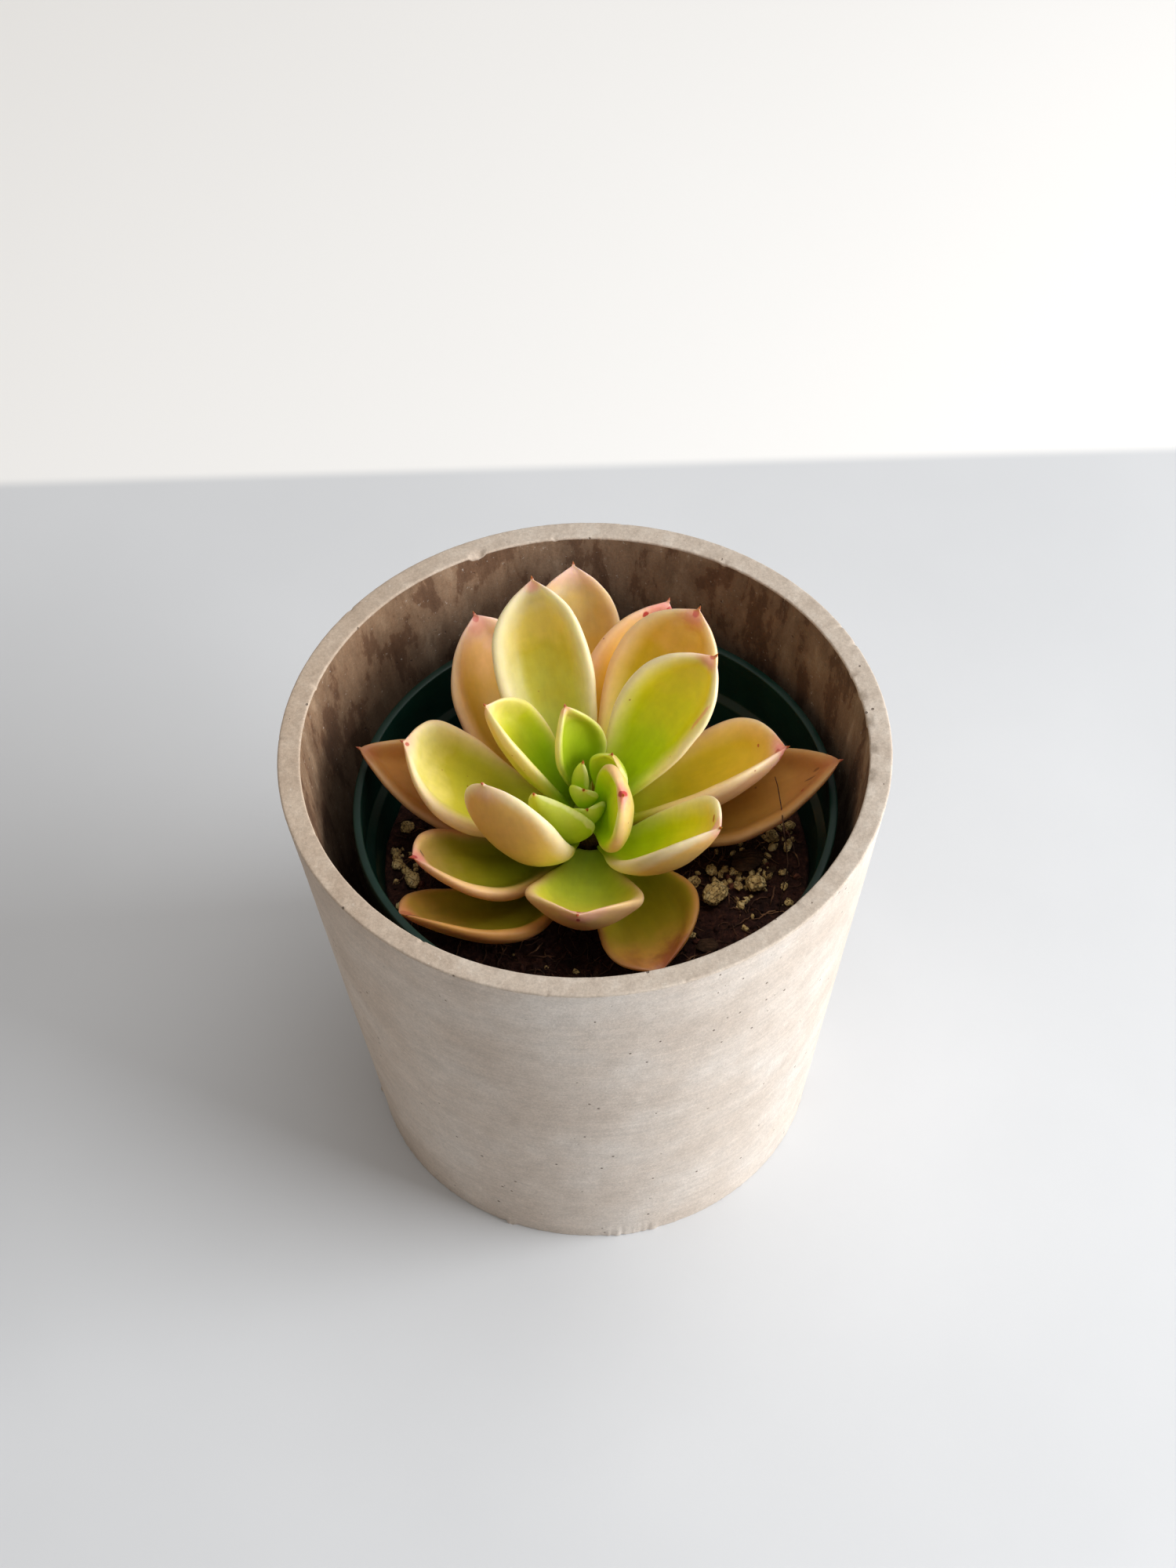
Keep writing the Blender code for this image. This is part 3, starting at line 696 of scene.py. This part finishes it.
def build_stem():
    mesh = finer("stem", 3)
    low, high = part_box("stem")
    for vert in mesh.vertices:
        x, y, z = vert.co
        scar = math.sin((z - low.z) / (1.9 * MM) * TAU + 2.5 * wave(x, y, z, 4 * MM, 3.0))
        side = Vector((x - STEM_X, y - STEM_Y, 0.0))
        if side.length > 0.3 * MM:
            vert.co += side.normalized() * (0.16 * scar + 0.25 * wave(x, y, z * 0.3, 0.9 * MM, 5.0)) * MM
    piece = new_piece("stem_fine", mesh, bark_material("stem_skin", 1.6))
    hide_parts("stem")


def build_strands():
    """Dry roots at the stem's foot, and the long one that has dried over the outer leaf."""
    rng = random.Random(5)
    points, faces = [], []
    for _ in range(DRY_ROOTS):
        a, z = rng.random() * TAU, rng.uniform(-0.5, 5.5)
        r = 3.1
        path = []
        for i in range(8):
            path.append(Vector((STEM_X + r * MM * math.cos(a), STEM_Y + r * MM * math.sin(a), SOIL_Z + z * MM)))
            r += rng.uniform(0.1, 1.1)
            z -= rng.uniform(0.0, 0.9)
            a += rng.uniform(-0.12, 0.12)
        strand_into(points, faces, path, rng.uniform(0.08, 0.2) * MM)
    hair = [(41, 4.2, 97.2), (41.5, 2.4, 96.3), (41.8, -0.4, 95.6), (42, -3.4, 95.6), (42.1, -6, 95.5),
            (42.3, -8.6, 94), (42.7, -11.2, 91.6), (43, -13.2, 88.8), (42.2, -15.4, 85.2), (41.2, -17.6, 80.5),
            (41, -18.6, 76)]
    twig = [(42.2, -7.4, 94.8), (43.4, -9.2, 93.6), (44.2, -11.6, 92.8), (44.4, -13.6, 91)]
    for path, radius in ((hair, 0.15), (twig, 0.09)):
        strand_into(points, faces, [Vector(p) * MM for p in path], radius * MM)
    mesh = mesh_from("stem_dry_roots", points, faces)
    new_piece("stem_dry_roots", mesh, fibre_material("stem_dry_roots_skin", 1.7))


# ---- leaves

def leaf_mesh(name, leaf, seed):
    """A closed leaf along +X, upper face up, with a rounded margin and a short hard point at its tip."""
    outline, _, _, _, length, width, thick, sag, bow, cup, _ = leaf
    points, blade, spot = [], [], []
    rings = LEAF_RINGS + LEAF_POINT_RINGS
    for i in range(rings):
        if i < LEAF_RINGS:
            s = 1 - (1 - i / LEAF_RINGS) ** 1.45
            half = 0.5 * width * smooth_value(outline, s)
            depth = thick * smooth_value(THICKNESS, s)
            beyond = 0.0
        else:
            beyond = (i - LEAF_RINGS) / LEAF_POINT_RINGS * LEAF_POINT_LENGTH
            s, half, depth = 1.0, 0.0, 0.0
        near_tip = max(0.0, 1 - (1 - s) * length / 1.2)
        tip_r = LEAF_POINT_R * (1 - 0.92 * beyond / LEAF_POINT_LENGTH) * near_tip
        half, depth = max(half, tip_r), max(depth, 2 * tip_r)
        arch = length * math.sin(math.pi * s)
        for across, up in circle(LEAF_AROUND):
            ruffle = 1 + 0.022 * wave(s * length, 0, 0, 7.0, seed + (3 if across > 0 else 9)) * min(1, 4 * s)
            share = LEAF_UPPER if up > 0 else LEAF_LOWER
            lift = across**2 - LEAF_LEVEL * max(0.0, abs(across) - LEAF_LEVEL_FROM) ** 2
            bulge = share * abs(up) ** 0.8 * depth
            y_flat = half * across * ruffle
            margin = min(half * (1 - abs(across)), (1 - s) * length)
            if up > 0:
                inside = min(1.0, max(0.0, (margin - 0.05 * width) / (0.2 * width)))
                dish = inside * inside * (3 - 2 * inside) * min(1.0, s / 0.35)
                groove = -0.5 * min(depth, 0.75 * thick) * dish
            else:
                groove = -0.05 * depth * math.exp(-(across / 0.3) ** 2) * math.sin(math.pi * min(1.0, s * 1.02))
            x = length * s + beyond
            y = bow * arch + y_flat
            z = -sag * arch + 1.12 * cup * half * lift + bulge + groove
            z += (0.14 * wave(x, y, up, 6.5, seed) + 0.035 * wave(x, y, up, 1.9, seed + 5)) * min(1.0, depth / 2)
            points.append((x * MM, y * MM, z * MM))
            blade.append((s, across, up))
            spot.append((x, half * across, margin))
    faces = tube_faces(rings, LEAF_AROUND)
    for end, x in ((0, -0.5), (rings - 1, length + LEAF_POINT_LENGTH + 0.08)):
        first = end * LEAF_AROUND
        centre = np.mean(points[first:first + LEAF_AROUND], axis=0)
        centre[0] = x * MM
        faces += fan(len(points), first, LEAF_AROUND, turned=end == 0)
        points.append(tuple(centre))
        blade.append(blade[first])
        spot.append(spot[first])
    return mesh_from(name, points, faces, {"blade": blade, "spot": spot, "own": points})


def leaf_root(leaf):
    height, azimuth = leaf[1], math.radians(leaf[2])
    share = min(1.0, max(0.0, (height - LEAF_TAPER_FROM) / (LEAF_TAPER_TO - LEAF_TAPER_FROM)))
    radius = LEAF_ROOT_R + (LEAF_ROOT_TOP_R - LEAF_ROOT_R) * share
    return Vector((STEM_X + radius * MM * math.cos(azimuth), STEM_Y + radius * MM * math.sin(azimuth),
                   SOIL_Z + height * MM))


# A family's colours. top and under, a leaf's two faces: (share of the length, r, g, b). halo, the broad band inside
# the margin, lip, on the margin, and blush, at the tip: (width in mm, r, g, b).
PALETTES = {
    "heart": dict(
        top=((0, 0.34, 0.56, 0.006), (0.45, 0.46, 0.68, 0.01), (1, 0.62, 0.76, 0.05)),
        under=((0, 0.42, 0.62, 0.01), (0.6, 0.52, 0.7, 0.03), (1, 0.7, 0.74, 0.12)),
        halo=(1, 0.66, 0.76, 0.08), lip=(0.4, 0.84, 0.84, 0.34), blush=(0.6, 0.8, 0.5, 0.2)),
    "core": dict(
        top=((0, 0.22, 0.36, 0.003), (0.4, 0.28, 0.41, 0.003), (0.8, 0.38, 0.45, 0.012), (1, 0.74, 0.56, 0.16)),
        under=((0, 0.38, 0.52, 0.02), (0.55, 0.5, 0.58, 0.07), (1, 0.86, 0.62, 0.22)),
        halo=(2, 0.6, 0.64, 0.12), lip=(0.9, 0.88, 0.74, 0.36), blush=(2.2, 0.88, 0.36, 0.26)),
    "striped": dict(
        top=((0, 0.22, 0.36, 0.003), (0.4, 0.28, 0.41, 0.003), (0.8, 0.42, 0.45, 0.012), (1, 0.8, 0.56, 0.18)),
        under=((0, 0.38, 0.52, 0.02), (0.55, 0.6, 0.6, 0.07), (1, 0.9, 0.6, 0.24)),
        halo=(1.8, 0.66, 0.62, 0.1), lip=(1.25, 0.94, 0.54, 0.3), blush=(1.2, 0.92, 0.36, 0.28)),
    "green": dict(
        top=((0, 0.28, 0.46, 0.004), (0.42, 0.38, 0.54, 0.006), (0.75, 0.54, 0.56, 0.02), (1, 0.9, 0.62, 0.24)),
        under=((0, 0.46, 0.58, 0.03), (0.45, 0.62, 0.62, 0.06), (1, 0.9, 0.58, 0.2)),
        halo=(2.6, 0.88, 0.74, 0.22), lip=(1.4, 0.95, 0.74, 0.38), blush=(2.5, 0.92, 0.48, 0.34)),
    "lime": dict(
        top=((0, 0.38, 0.54, 0.004), (0.42, 0.5, 0.6, 0.003), (0.68, 0.66, 0.62, 0.006), (0.86, 0.8, 0.6, 0.05),
             (1, 0.95, 0.62, 0.3)),
        under=((0, 0.5, 0.66, 0.06), (0.32, 0.72, 0.68, 0.12), (0.58, 0.95, 0.65, 0.16), (1, 0.95, 0.52, 0.17)),
        halo=(4.4, 0.97, 0.78, 0.42), lip=(2.3, 0.99, 0.77, 0.48), blush=(3.6, 0.95, 0.58, 0.44)),
    "yellow": dict(
        top=((0, 0.54, 0.66, 0.14), (0.4, 0.6, 0.64, 0.11), (0.68, 0.62, 0.52, 0.035), (0.86, 0.8, 0.6, 0.12),
             (1, 0.95, 0.64, 0.38)),
        under=((0, 0.6, 0.62, 0.08), (0.35, 0.88, 0.7, 0.24), (0.7, 0.93, 0.62, 0.3), (1, 0.93, 0.52, 0.32)),
        halo=(6.4, 0.98, 0.84, 0.54), lip=(2.8, 0.99, 0.8, 0.48), blush=(4.5, 0.96, 0.64, 0.5)),
    "cream": dict(
        top=((0, 0.46, 0.54, 0.02), (0.4, 0.44, 0.44, 0.02), (0.68, 0.48, 0.42, 0.03), (0.86, 0.82, 0.62, 0.2),
             (1, 0.95, 0.62, 0.34)),
        under=((0, 0.62, 0.58, 0.05), (0.4, 0.78, 0.46, 0.1), (1, 0.88, 0.42, 0.2)),
        halo=(5.4, 0.96, 0.72, 0.4), lip=(2.4, 0.98, 0.66, 0.37), blush=(3.5, 0.94, 0.5, 0.34)),
    "gold": dict(
        top=((0, 0.44, 0.5, 0.012), (0.4, 0.5, 0.43, 0.012), (0.72, 0.62, 0.44, 0.025), (0.9, 0.84, 0.5, 0.12),
             (1, 0.94, 0.5, 0.28)),
        under=((0, 0.6, 0.52, 0.06), (0.5, 0.88, 0.6, 0.24), (1, 0.92, 0.48, 0.28)),
        halo=(5.2, 0.96, 0.68, 0.36), lip=(2.6, 0.98, 0.68, 0.41), blush=(5, 0.95, 0.54, 0.42)),
    "outer": dict(
        top=((0, 0.46, 0.42, 0.02), (0.35, 0.58, 0.39, 0.02), (0.68, 0.72, 0.43, 0.06), (0.88, 0.9, 0.52, 0.2),
             (1, 0.95, 0.58, 0.44)),
        under=((0, 0.5, 0.4, 0.03), (0.5, 0.82, 0.5, 0.14), (1, 0.92, 0.52, 0.3)),
        halo=(4.8, 0.95, 0.6, 0.3), lip=(2.4, 0.97, 0.62, 0.38), blush=(7, 0.95, 0.54, 0.46)),
    "oldest": dict(
        top=((0, 0.42, 0.33, 0.03), (0.4, 0.48, 0.28, 0.05), (0.75, 0.5, 0.25, 0.06), (1, 0.5, 0.18, 0.06)),
        under=((0, 0.46, 0.26, 0.04), (0.5, 0.62, 0.3, 0.08), (1, 0.66, 0.28, 0.12)),
        halo=(3.5, 0.58, 0.31, 0.1), lip=(1.4, 0.72, 0.42, 0.2), blush=(5, 0.5, 0.15, 0.06)),
    "olive": dict(
        top=((0, 0.34, 0.42, 0.008), (0.4, 0.42, 0.46, 0.012), (0.7, 0.52, 0.46, 0.02), (0.9, 0.82, 0.52, 0.14),
             (1, 0.94, 0.52, 0.26)),
        under=((0, 0.6, 0.56, 0.04), (0.4, 0.9, 0.54, 0.14), (1, 0.94, 0.48, 0.24)),
        halo=(3.6, 0.88, 0.62, 0.22), lip=(2.8, 0.96, 0.5, 0.25), blush=(3.5, 0.94, 0.48, 0.36)),
    "muted": dict(
        top=((0, 0.44, 0.56, 0.05), (0.4, 0.56, 0.62, 0.05), (0.7, 0.66, 0.6, 0.05), (0.9, 0.92, 0.64, 0.24),
             (1, 0.96, 0.6, 0.34)),
        under=((0, 0.58, 0.58, 0.05), (0.4, 0.84, 0.58, 0.16), (1, 0.94, 0.56, 0.28)),
        halo=(3.6, 0.9, 0.7, 0.28), lip=(2.8, 0.97, 0.56, 0.28), blush=(3.2, 0.94, 0.46, 0.36)),
    "rust": dict(
        top=((0, 0.3, 0.34, 0.01), (0.4, 0.32, 0.31, 0.01), (0.7, 0.38, 0.3, 0.018), (0.9, 0.6, 0.31, 0.06),
             (1, 0.74, 0.3, 0.12)),
        under=((0, 0.5, 0.38, 0.03), (0.4, 0.78, 0.42, 0.06), (1, 0.9, 0.42, 0.12)),
        halo=(2.8, 0.64, 0.37, 0.05), lip=(2.3, 0.92, 0.41, 0.14), blush=(4, 0.84, 0.3, 0.14)),
}
PALETTE_OF = {
    "oldest": ("outer_right", "outer_left"),
    "outer": ("outer_back", "outer_back_left", "outer_back_right"),
    "rust": ("front_left_lowest", "front_right_lowest"),
    "olive": ("front_left_low",),
    "muted": ("front_low",),
    "gold": ("mid_right", "mid_back_right"),
    "yellow": ("mid_back_left",),
    "cream": ("mid_left",),
    "lime": ("upper_back_right", "mid_front_right", "upper_front_left"),
    "green": ("upper_left",),
    "core": ("inner_back",),
    "striped": ("inner_front_right",),
    "heart": ("inner_front_left", "heart_right", "heart_left", "heart_front", "heart_low"),
}
# Painted light and shade: how much lighter or darker a leaf's upper face is painted than its family's, for the light
# that reaches it.
PAINTED_LIGHT_GAIN = {
    "front_low": 1.15, "front_left_low": 0.65, "outer_back": 1.35, "outer_back_left": 0.95, "front_left_lowest": 1.0,
    "front_right_lowest": 1.35, "outer_right": 1.15, "outer_left": 1.35, "mid_left": 1.3, "inner_front_right": 1.9,
    "heart_right": 1.5, "heart_left": 1.4, "heart_front": 1.4, "heart_low": 1.4, "inner_back": 1.15,
}
# painted light: most leaves' upper faces are painted lighter than their family's colours
USUAL_PAINTED_LIGHT_GAIN = 1.2
PALEST = 0.97
# Marks on a leaf: mm along, mm across, on the upper side (None is both), radius along and across, colour, strength.
RED, ROSE, SCAR, SPECK = (0.42, 0.012, 0.022), (0.84, 0.22, 0.2), (0.055, 0.016, 0.01), (0.3, 0.05, 0.015)
MARKS = {
    "outer_back_right": ((47.6, 0.6, None, 3, 3.4, ROSE, 0.65), (45.1, 2.6, True, 0.8, 0.7, RED, 0.9),
                              (48, -1.2, True, 0.7, 0.6, RED, 0.8), (46.6, -0.6, True, 0.4, 0.4, RED, 0.7)),
    "mid_right": ((42, 0, None, 2.6, 3.6, ROSE, 0.7), (38.7, -3.6, False, 0.8, 0.6, RED, 0.9),
                       (41.2, -1.6, None, 0.6, 1.4, RED, 0.6), (36, 5.2, True, 0.3, 0.3, RED, 0.7)),
    "outer_right": ((44, -3.2, True, 0.45, 0.4, RED, 0.9), (46.1, -0.7, True, 1.7, 0.25, SCAR, 0.55),
                         (48, 0.6, True, 0.9, 0.2, SCAR, 0.45), (33, 2.5, True, 0.3, 0.3, SCAR, 0.5)),
    "mid_front_right": ((39.1, 3.9, True, 0.8, 0.45, RED, 0.85), (42.5, 0.5, None, 1.6, 2, ROSE, 0.45)),
    "front_low": ((37.4, 0.2, True, 1.7, 2.6, ROSE, 0.6), (38.3, 0, None, 0.6, 0.5, RED, 0.8),
                       (36.6, -1.6, True, 0.35, 0.3, RED, 0.8), (36.8, 1.7, True, 0.3, 0.3, RED, 0.7)),
    "front_left_lowest": ((42.2, 1.6, True, 2, 0.3, SCAR, 0.85), (39, 3.4, True, 0.8, 0.25, SCAR, 0.6),
                               (43.5, 0.4, None, 1.2, 1.4, RED, 0.35)),
    "front_left_low": ((37.8, -1.9, True, 0.4, 0.9, SCAR, 0.75), (40, 0, None, 2.2, 2.6, ROSE, 0.65),
                            (40.6, 0, None, 0.7, 0.7, RED, 0.8)),
    "inner_front_right": ((26.4, 0.4, None, 2, 3.6, ROSE, 0.45), (26.6, 0.5, None, 0.7, 0.7, RED, 0.85)),
    "upper_back_right": ((44.6, 0.3, None, 0.7, 0.6, RED, 0.8), (34.1, -7.4, True, 3.6, 0.6, ROSE, 0.45),
                              (43.6, 0.2, None, 2.4, 2.6, ROSE, 0.4)),
    "mid_back_right": ((48, 0, None, 1, 0.8, RED, 0.75), (46.6, 0, None, 3, 3.2, ROSE, 0.45)),
    "mid_back_left": ((51.6, 0, None, 1.8, 2, ROSE, 0.55),),
    "outer_back_left": ((50.2, 0, None, 0.9, 0.8, RED, 0.7), (48.6, 0, None, 2.4, 3, ROSE, 0.35)),
    "front_right_lowest": ((34.5, 3.4, True, 6, 5, (0.42, 0.1, 0.045), 0.75),
                                (34, -6, True, 6, 3, (0.5, 0.17, 0.05), 0.6)),
    "mid_left": ((41.6, 0.2, None, 0.6, 0.6, RED, 0.75),),
    "heart_low": ((6.5, 0.6, True, 0.8, 0.3, (0.01, 0.01, 0.006), 0.9),),
}


def lit(stops, light_gain):
    """A palette's stops, made lighter or darker by the gain, which paints light and shade into them."""
    return [(position, *(min(PALEST, light_gain * v) for v in paint)) for position, *paint in stops]


def leaf_material(name, palette, length, seed, light_gain, marks):
    g = Graph(name, IOR=1.42, Subsurface_Weight=0.38, Subsurface_Scale=1.0,
              Subsurface_Radius=(0.005, 0.0038, 0.0008), Coat_Weight=0.1, Coat_Roughness=0.3)
    along, across, up = g.attribute("blade")
    x, y, margin = g.attribute("spot")
    own = g.node("Attribute", attribute_name="own").outputs["Vector"]
    shifted = g.stretch(own, (1, 1, 1), (seed * 0.13, seed * 0.07, 0.0))
    cloud = g.noise(70.0, 4.0, 0.55, shifted)
    mottle = g.noise(420.0, 4.0, 0.6, shifted)
    lines = g.noise(1.0, 3.0, 0.55, g.stretch(shifted, (60.0, 900.0, 300.0)))
    grain = g.noise(2600.0, 2.0, 0.6, shifted)

    drift = g.maths("ADD", along, g.span(cloud, 0.2, 0.8, -0.1, 0.1), clamp=True)
    wander = g.plus(margin, g.span(cloud, 0.25, 0.75, -0.6, 0.6))
    outer_part = g.span(along, 0.1, 0.55)
    halo_mm, *halo_paint = palette["halo"]
    halo = g.times(g.span(wander, halo_mm, 0.6), outer_part)
    # painted light and shade: the upper face's colours are scaled by the leaf's gain
    upper = g.mix(g.times(halo, 0.85), g.ramp(drift, lit(palette["top"], light_gain)), halo_paint)
    colour = g.mix(g.span(up, 0.1, -0.35), upper, g.ramp(drift, palette["under"]))
    lip_mm, *lip_paint = palette["lip"]
    lip = g.times(g.span(wander, lip_mm, 0.0), outer_part)
    colour = g.mix(g.times(lip, 0.85), colour, lip_paint)
    from_tip = g.maths("SUBTRACT", length, x)
    blush_mm, *blush_paint = palette["blush"]
    blush = g.span(g.plus(from_tip, g.span(cloud, 0.2, 0.8, -1.5, 1.5)), blush_mm, 0.3)
    colour = g.mix(g.times(blush, 0.75), colour, blush_paint)
    colour = g.tint(colour, mottle, 0.955, 1.04)
    colour = g.tint(colour, lines, 0.98, 1.02)
    strewn = g.span(g.noise(90.0, 2.0, 0.5, shifted), 0.54, 0.62)
    specks = g.times(g.span(g.cells(260.0, shifted), 0.085, 0.03), strewn)
    colour = g.mix(g.times(specks, 0.7), colour, SPECK)
    for mark in marks:
        colour = marked(g, colour, (x, y, up), mottle, mark)
    point = g.span(from_tip, 0.25, -0.35)
    colour = g.mix(point, colour, (0.34, 0.045, 0.018))
    rough = g.span(cloud, 0.3, 0.7, 0.4, 0.52)
    return g.finish(colour, rough, ((lines, 0.05, 0.0003), (mottle, 0.08, 0.0003), (grain, 0.1, 0.00012)))


def marked(g, colour, place, ragged, mark):
    along, across, upper, reach_along, reach_across, paint, strength = mark
    x, y, up = place
    dx = g.maths("DIVIDE", g.maths("SUBTRACT", x, along), reach_along)
    dy = g.maths("DIVIDE", g.maths("SUBTRACT", y, across), reach_across)
    far = g.maths("SQRT", g.plus(g.times(dx, dx), g.times(dy, dy)))
    far = g.plus(far, g.span(ragged, 0.2, 0.8, -0.25, 0.25))
    side = strength if upper is None else g.span(up, *((-0.05, 0.05) if upper else (0.05, -0.05)), 0.0, strength)
    fade = (1.35, 0.25) if min(reach_along, reach_across) > 1.2 else (1.15, 0.7)
    return g.mix(g.times(g.span(far, *fade), side), colour, paint)


def build_leaves():
    family = {leaf: key for key, leaves in PALETTE_OF.items() for leaf in leaves}
    for seed, (name, leaf) in enumerate(LEAVES.items()):
        node = "leaf_" + name
        mesh = leaf_mesh(node + "_fine", leaf, seed * 1.37)
        azimuth, lift, roll = (math.radians(v) for v in (leaf[2], leaf[3], leaf[10]))
        mesh.transform(Matrix.Translation(leaf_root(leaf)) @ Euler((roll, -lift, azimuth)).to_matrix().to_4x4())
        material = leaf_material(node + "_skin", PALETTES[family[name]], leaf[4], seed,
                                 PAINTED_LIGHT_GAIN.get(name, USUAL_PAINTED_LIGHT_GAIN), MARKS.get(name, ()))
        piece = new_piece(node + "_blade", mesh, material)
        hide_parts(node)


# ---- floor, light and camera

FLOOR_HALF, TABLE_EDGE = 3.0, (0.194, 0.199)
SKY_COLOUR, SKY_STRENGTH = (1.0, 0.94, 0.88, 1.0), 0.375
LIGHT_COLOUR = (0.98, 0.99, 1.0)
# Area lights: place, target, size and power.
LIGHTS = {
    "window_light": ((1.12, -0.25, 0.5), (0.0, 0.0, 0.07), 0.9, 22.9),
    "ceiling_light": ((0.25, 0.1, 1.3), (0.0, 0.0, 0.1), 0.8, 4.0),
}
CAMERA_PLACE, CAMERA_PITCH, CAMERA_ROLL = (0.0005, -0.4339, 0.6357), 50.9, -1.73
CAMERA_LENS, CAMERA_SENSOR = 73.6, 36.0


def build_stage():
    half = FLOOR_HALF
    mesh = bpy.data.meshes.new("floor")
    mesh.from_pydata([(-half, -half, 0), (half, -half, 0), (half, half, 0), (-half, half, 0)], [], [(0, 1, 2, 3)])
    floor = new_object("floor", mesh)
    g = Graph("floor_paint", IOR=1.45)
    far = g.span(g.split(g.place)[1], *TABLE_EDGE)
    tone = g.noise(9.0, 4.0, 0.5)
    table = g.ramp(tone, ((0.3, 0.66, 0.68, 0.705), (0.7, 0.7, 0.72, 0.745)))
    colour = g.mix(far, table, (0.96, 0.96, 0.95))
    mesh.materials.append(g.finish(colour, g.span(tone, 0.3, 0.7, 0.55, 0.62), ((g.noise(900.0), 0.04, 0.0003),)))


def aim(obj, location, target):
    obj.location = location
    obj.rotation_mode = "QUATERNION"
    obj.rotation_quaternion = (Vector(target) - Vector(location)).to_track_quat("-Z", "Y")


def build_light():
    world = bpy.data.worlds.new("studio")
    bpy.context.scene.world = world
    world.use_nodes = True
    sky = world.node_tree.nodes["Background"]
    sky.inputs["Color"].default_value = SKY_COLOUR
    sky.inputs["Strength"].default_value = SKY_STRENGTH
    for name, (place, target, size, power) in LIGHTS.items():
        lamp = bpy.data.lights.new(name, "AREA")
        lamp.shape, lamp.size, lamp.energy = "SQUARE", size, power
        lamp.color = LIGHT_COLOUR
        aim(new_object(name, lamp), place, target)


def build_camera():
    data = bpy.data.cameras.new("camera")
    data.lens, data.sensor_width = CAMERA_LENS, CAMERA_SENSOR
    camera = new_object("camera", data)
    pitch, roll = math.radians(CAMERA_PITCH), math.radians(CAMERA_ROLL)
    forward = Vector((0.0, math.cos(pitch), -math.sin(pitch)))
    right = Vector((1.0, 0.0, 0.0))
    up = right.cross(forward)
    c, s = math.cos(roll), math.sin(roll)
    turn = Matrix((right * c + up * s, up * c - right * s, -forward)).transposed()
    camera.matrix_world = Matrix.Translation(CAMERA_PLACE) @ turn.to_4x4()
    bpy.context.scene.camera = camera


build_outer_pot()
build_nursery_pot()
build_soil()
build_soil_crumbs()
build_soil_fibres()
build_pebbles()
build_stem()
build_strands()
build_leaves()
build_stage()
build_light()
build_camera()
bpy.context.scene.view_settings.view_transform = "Standard"

bpy.context.view_layer.update()
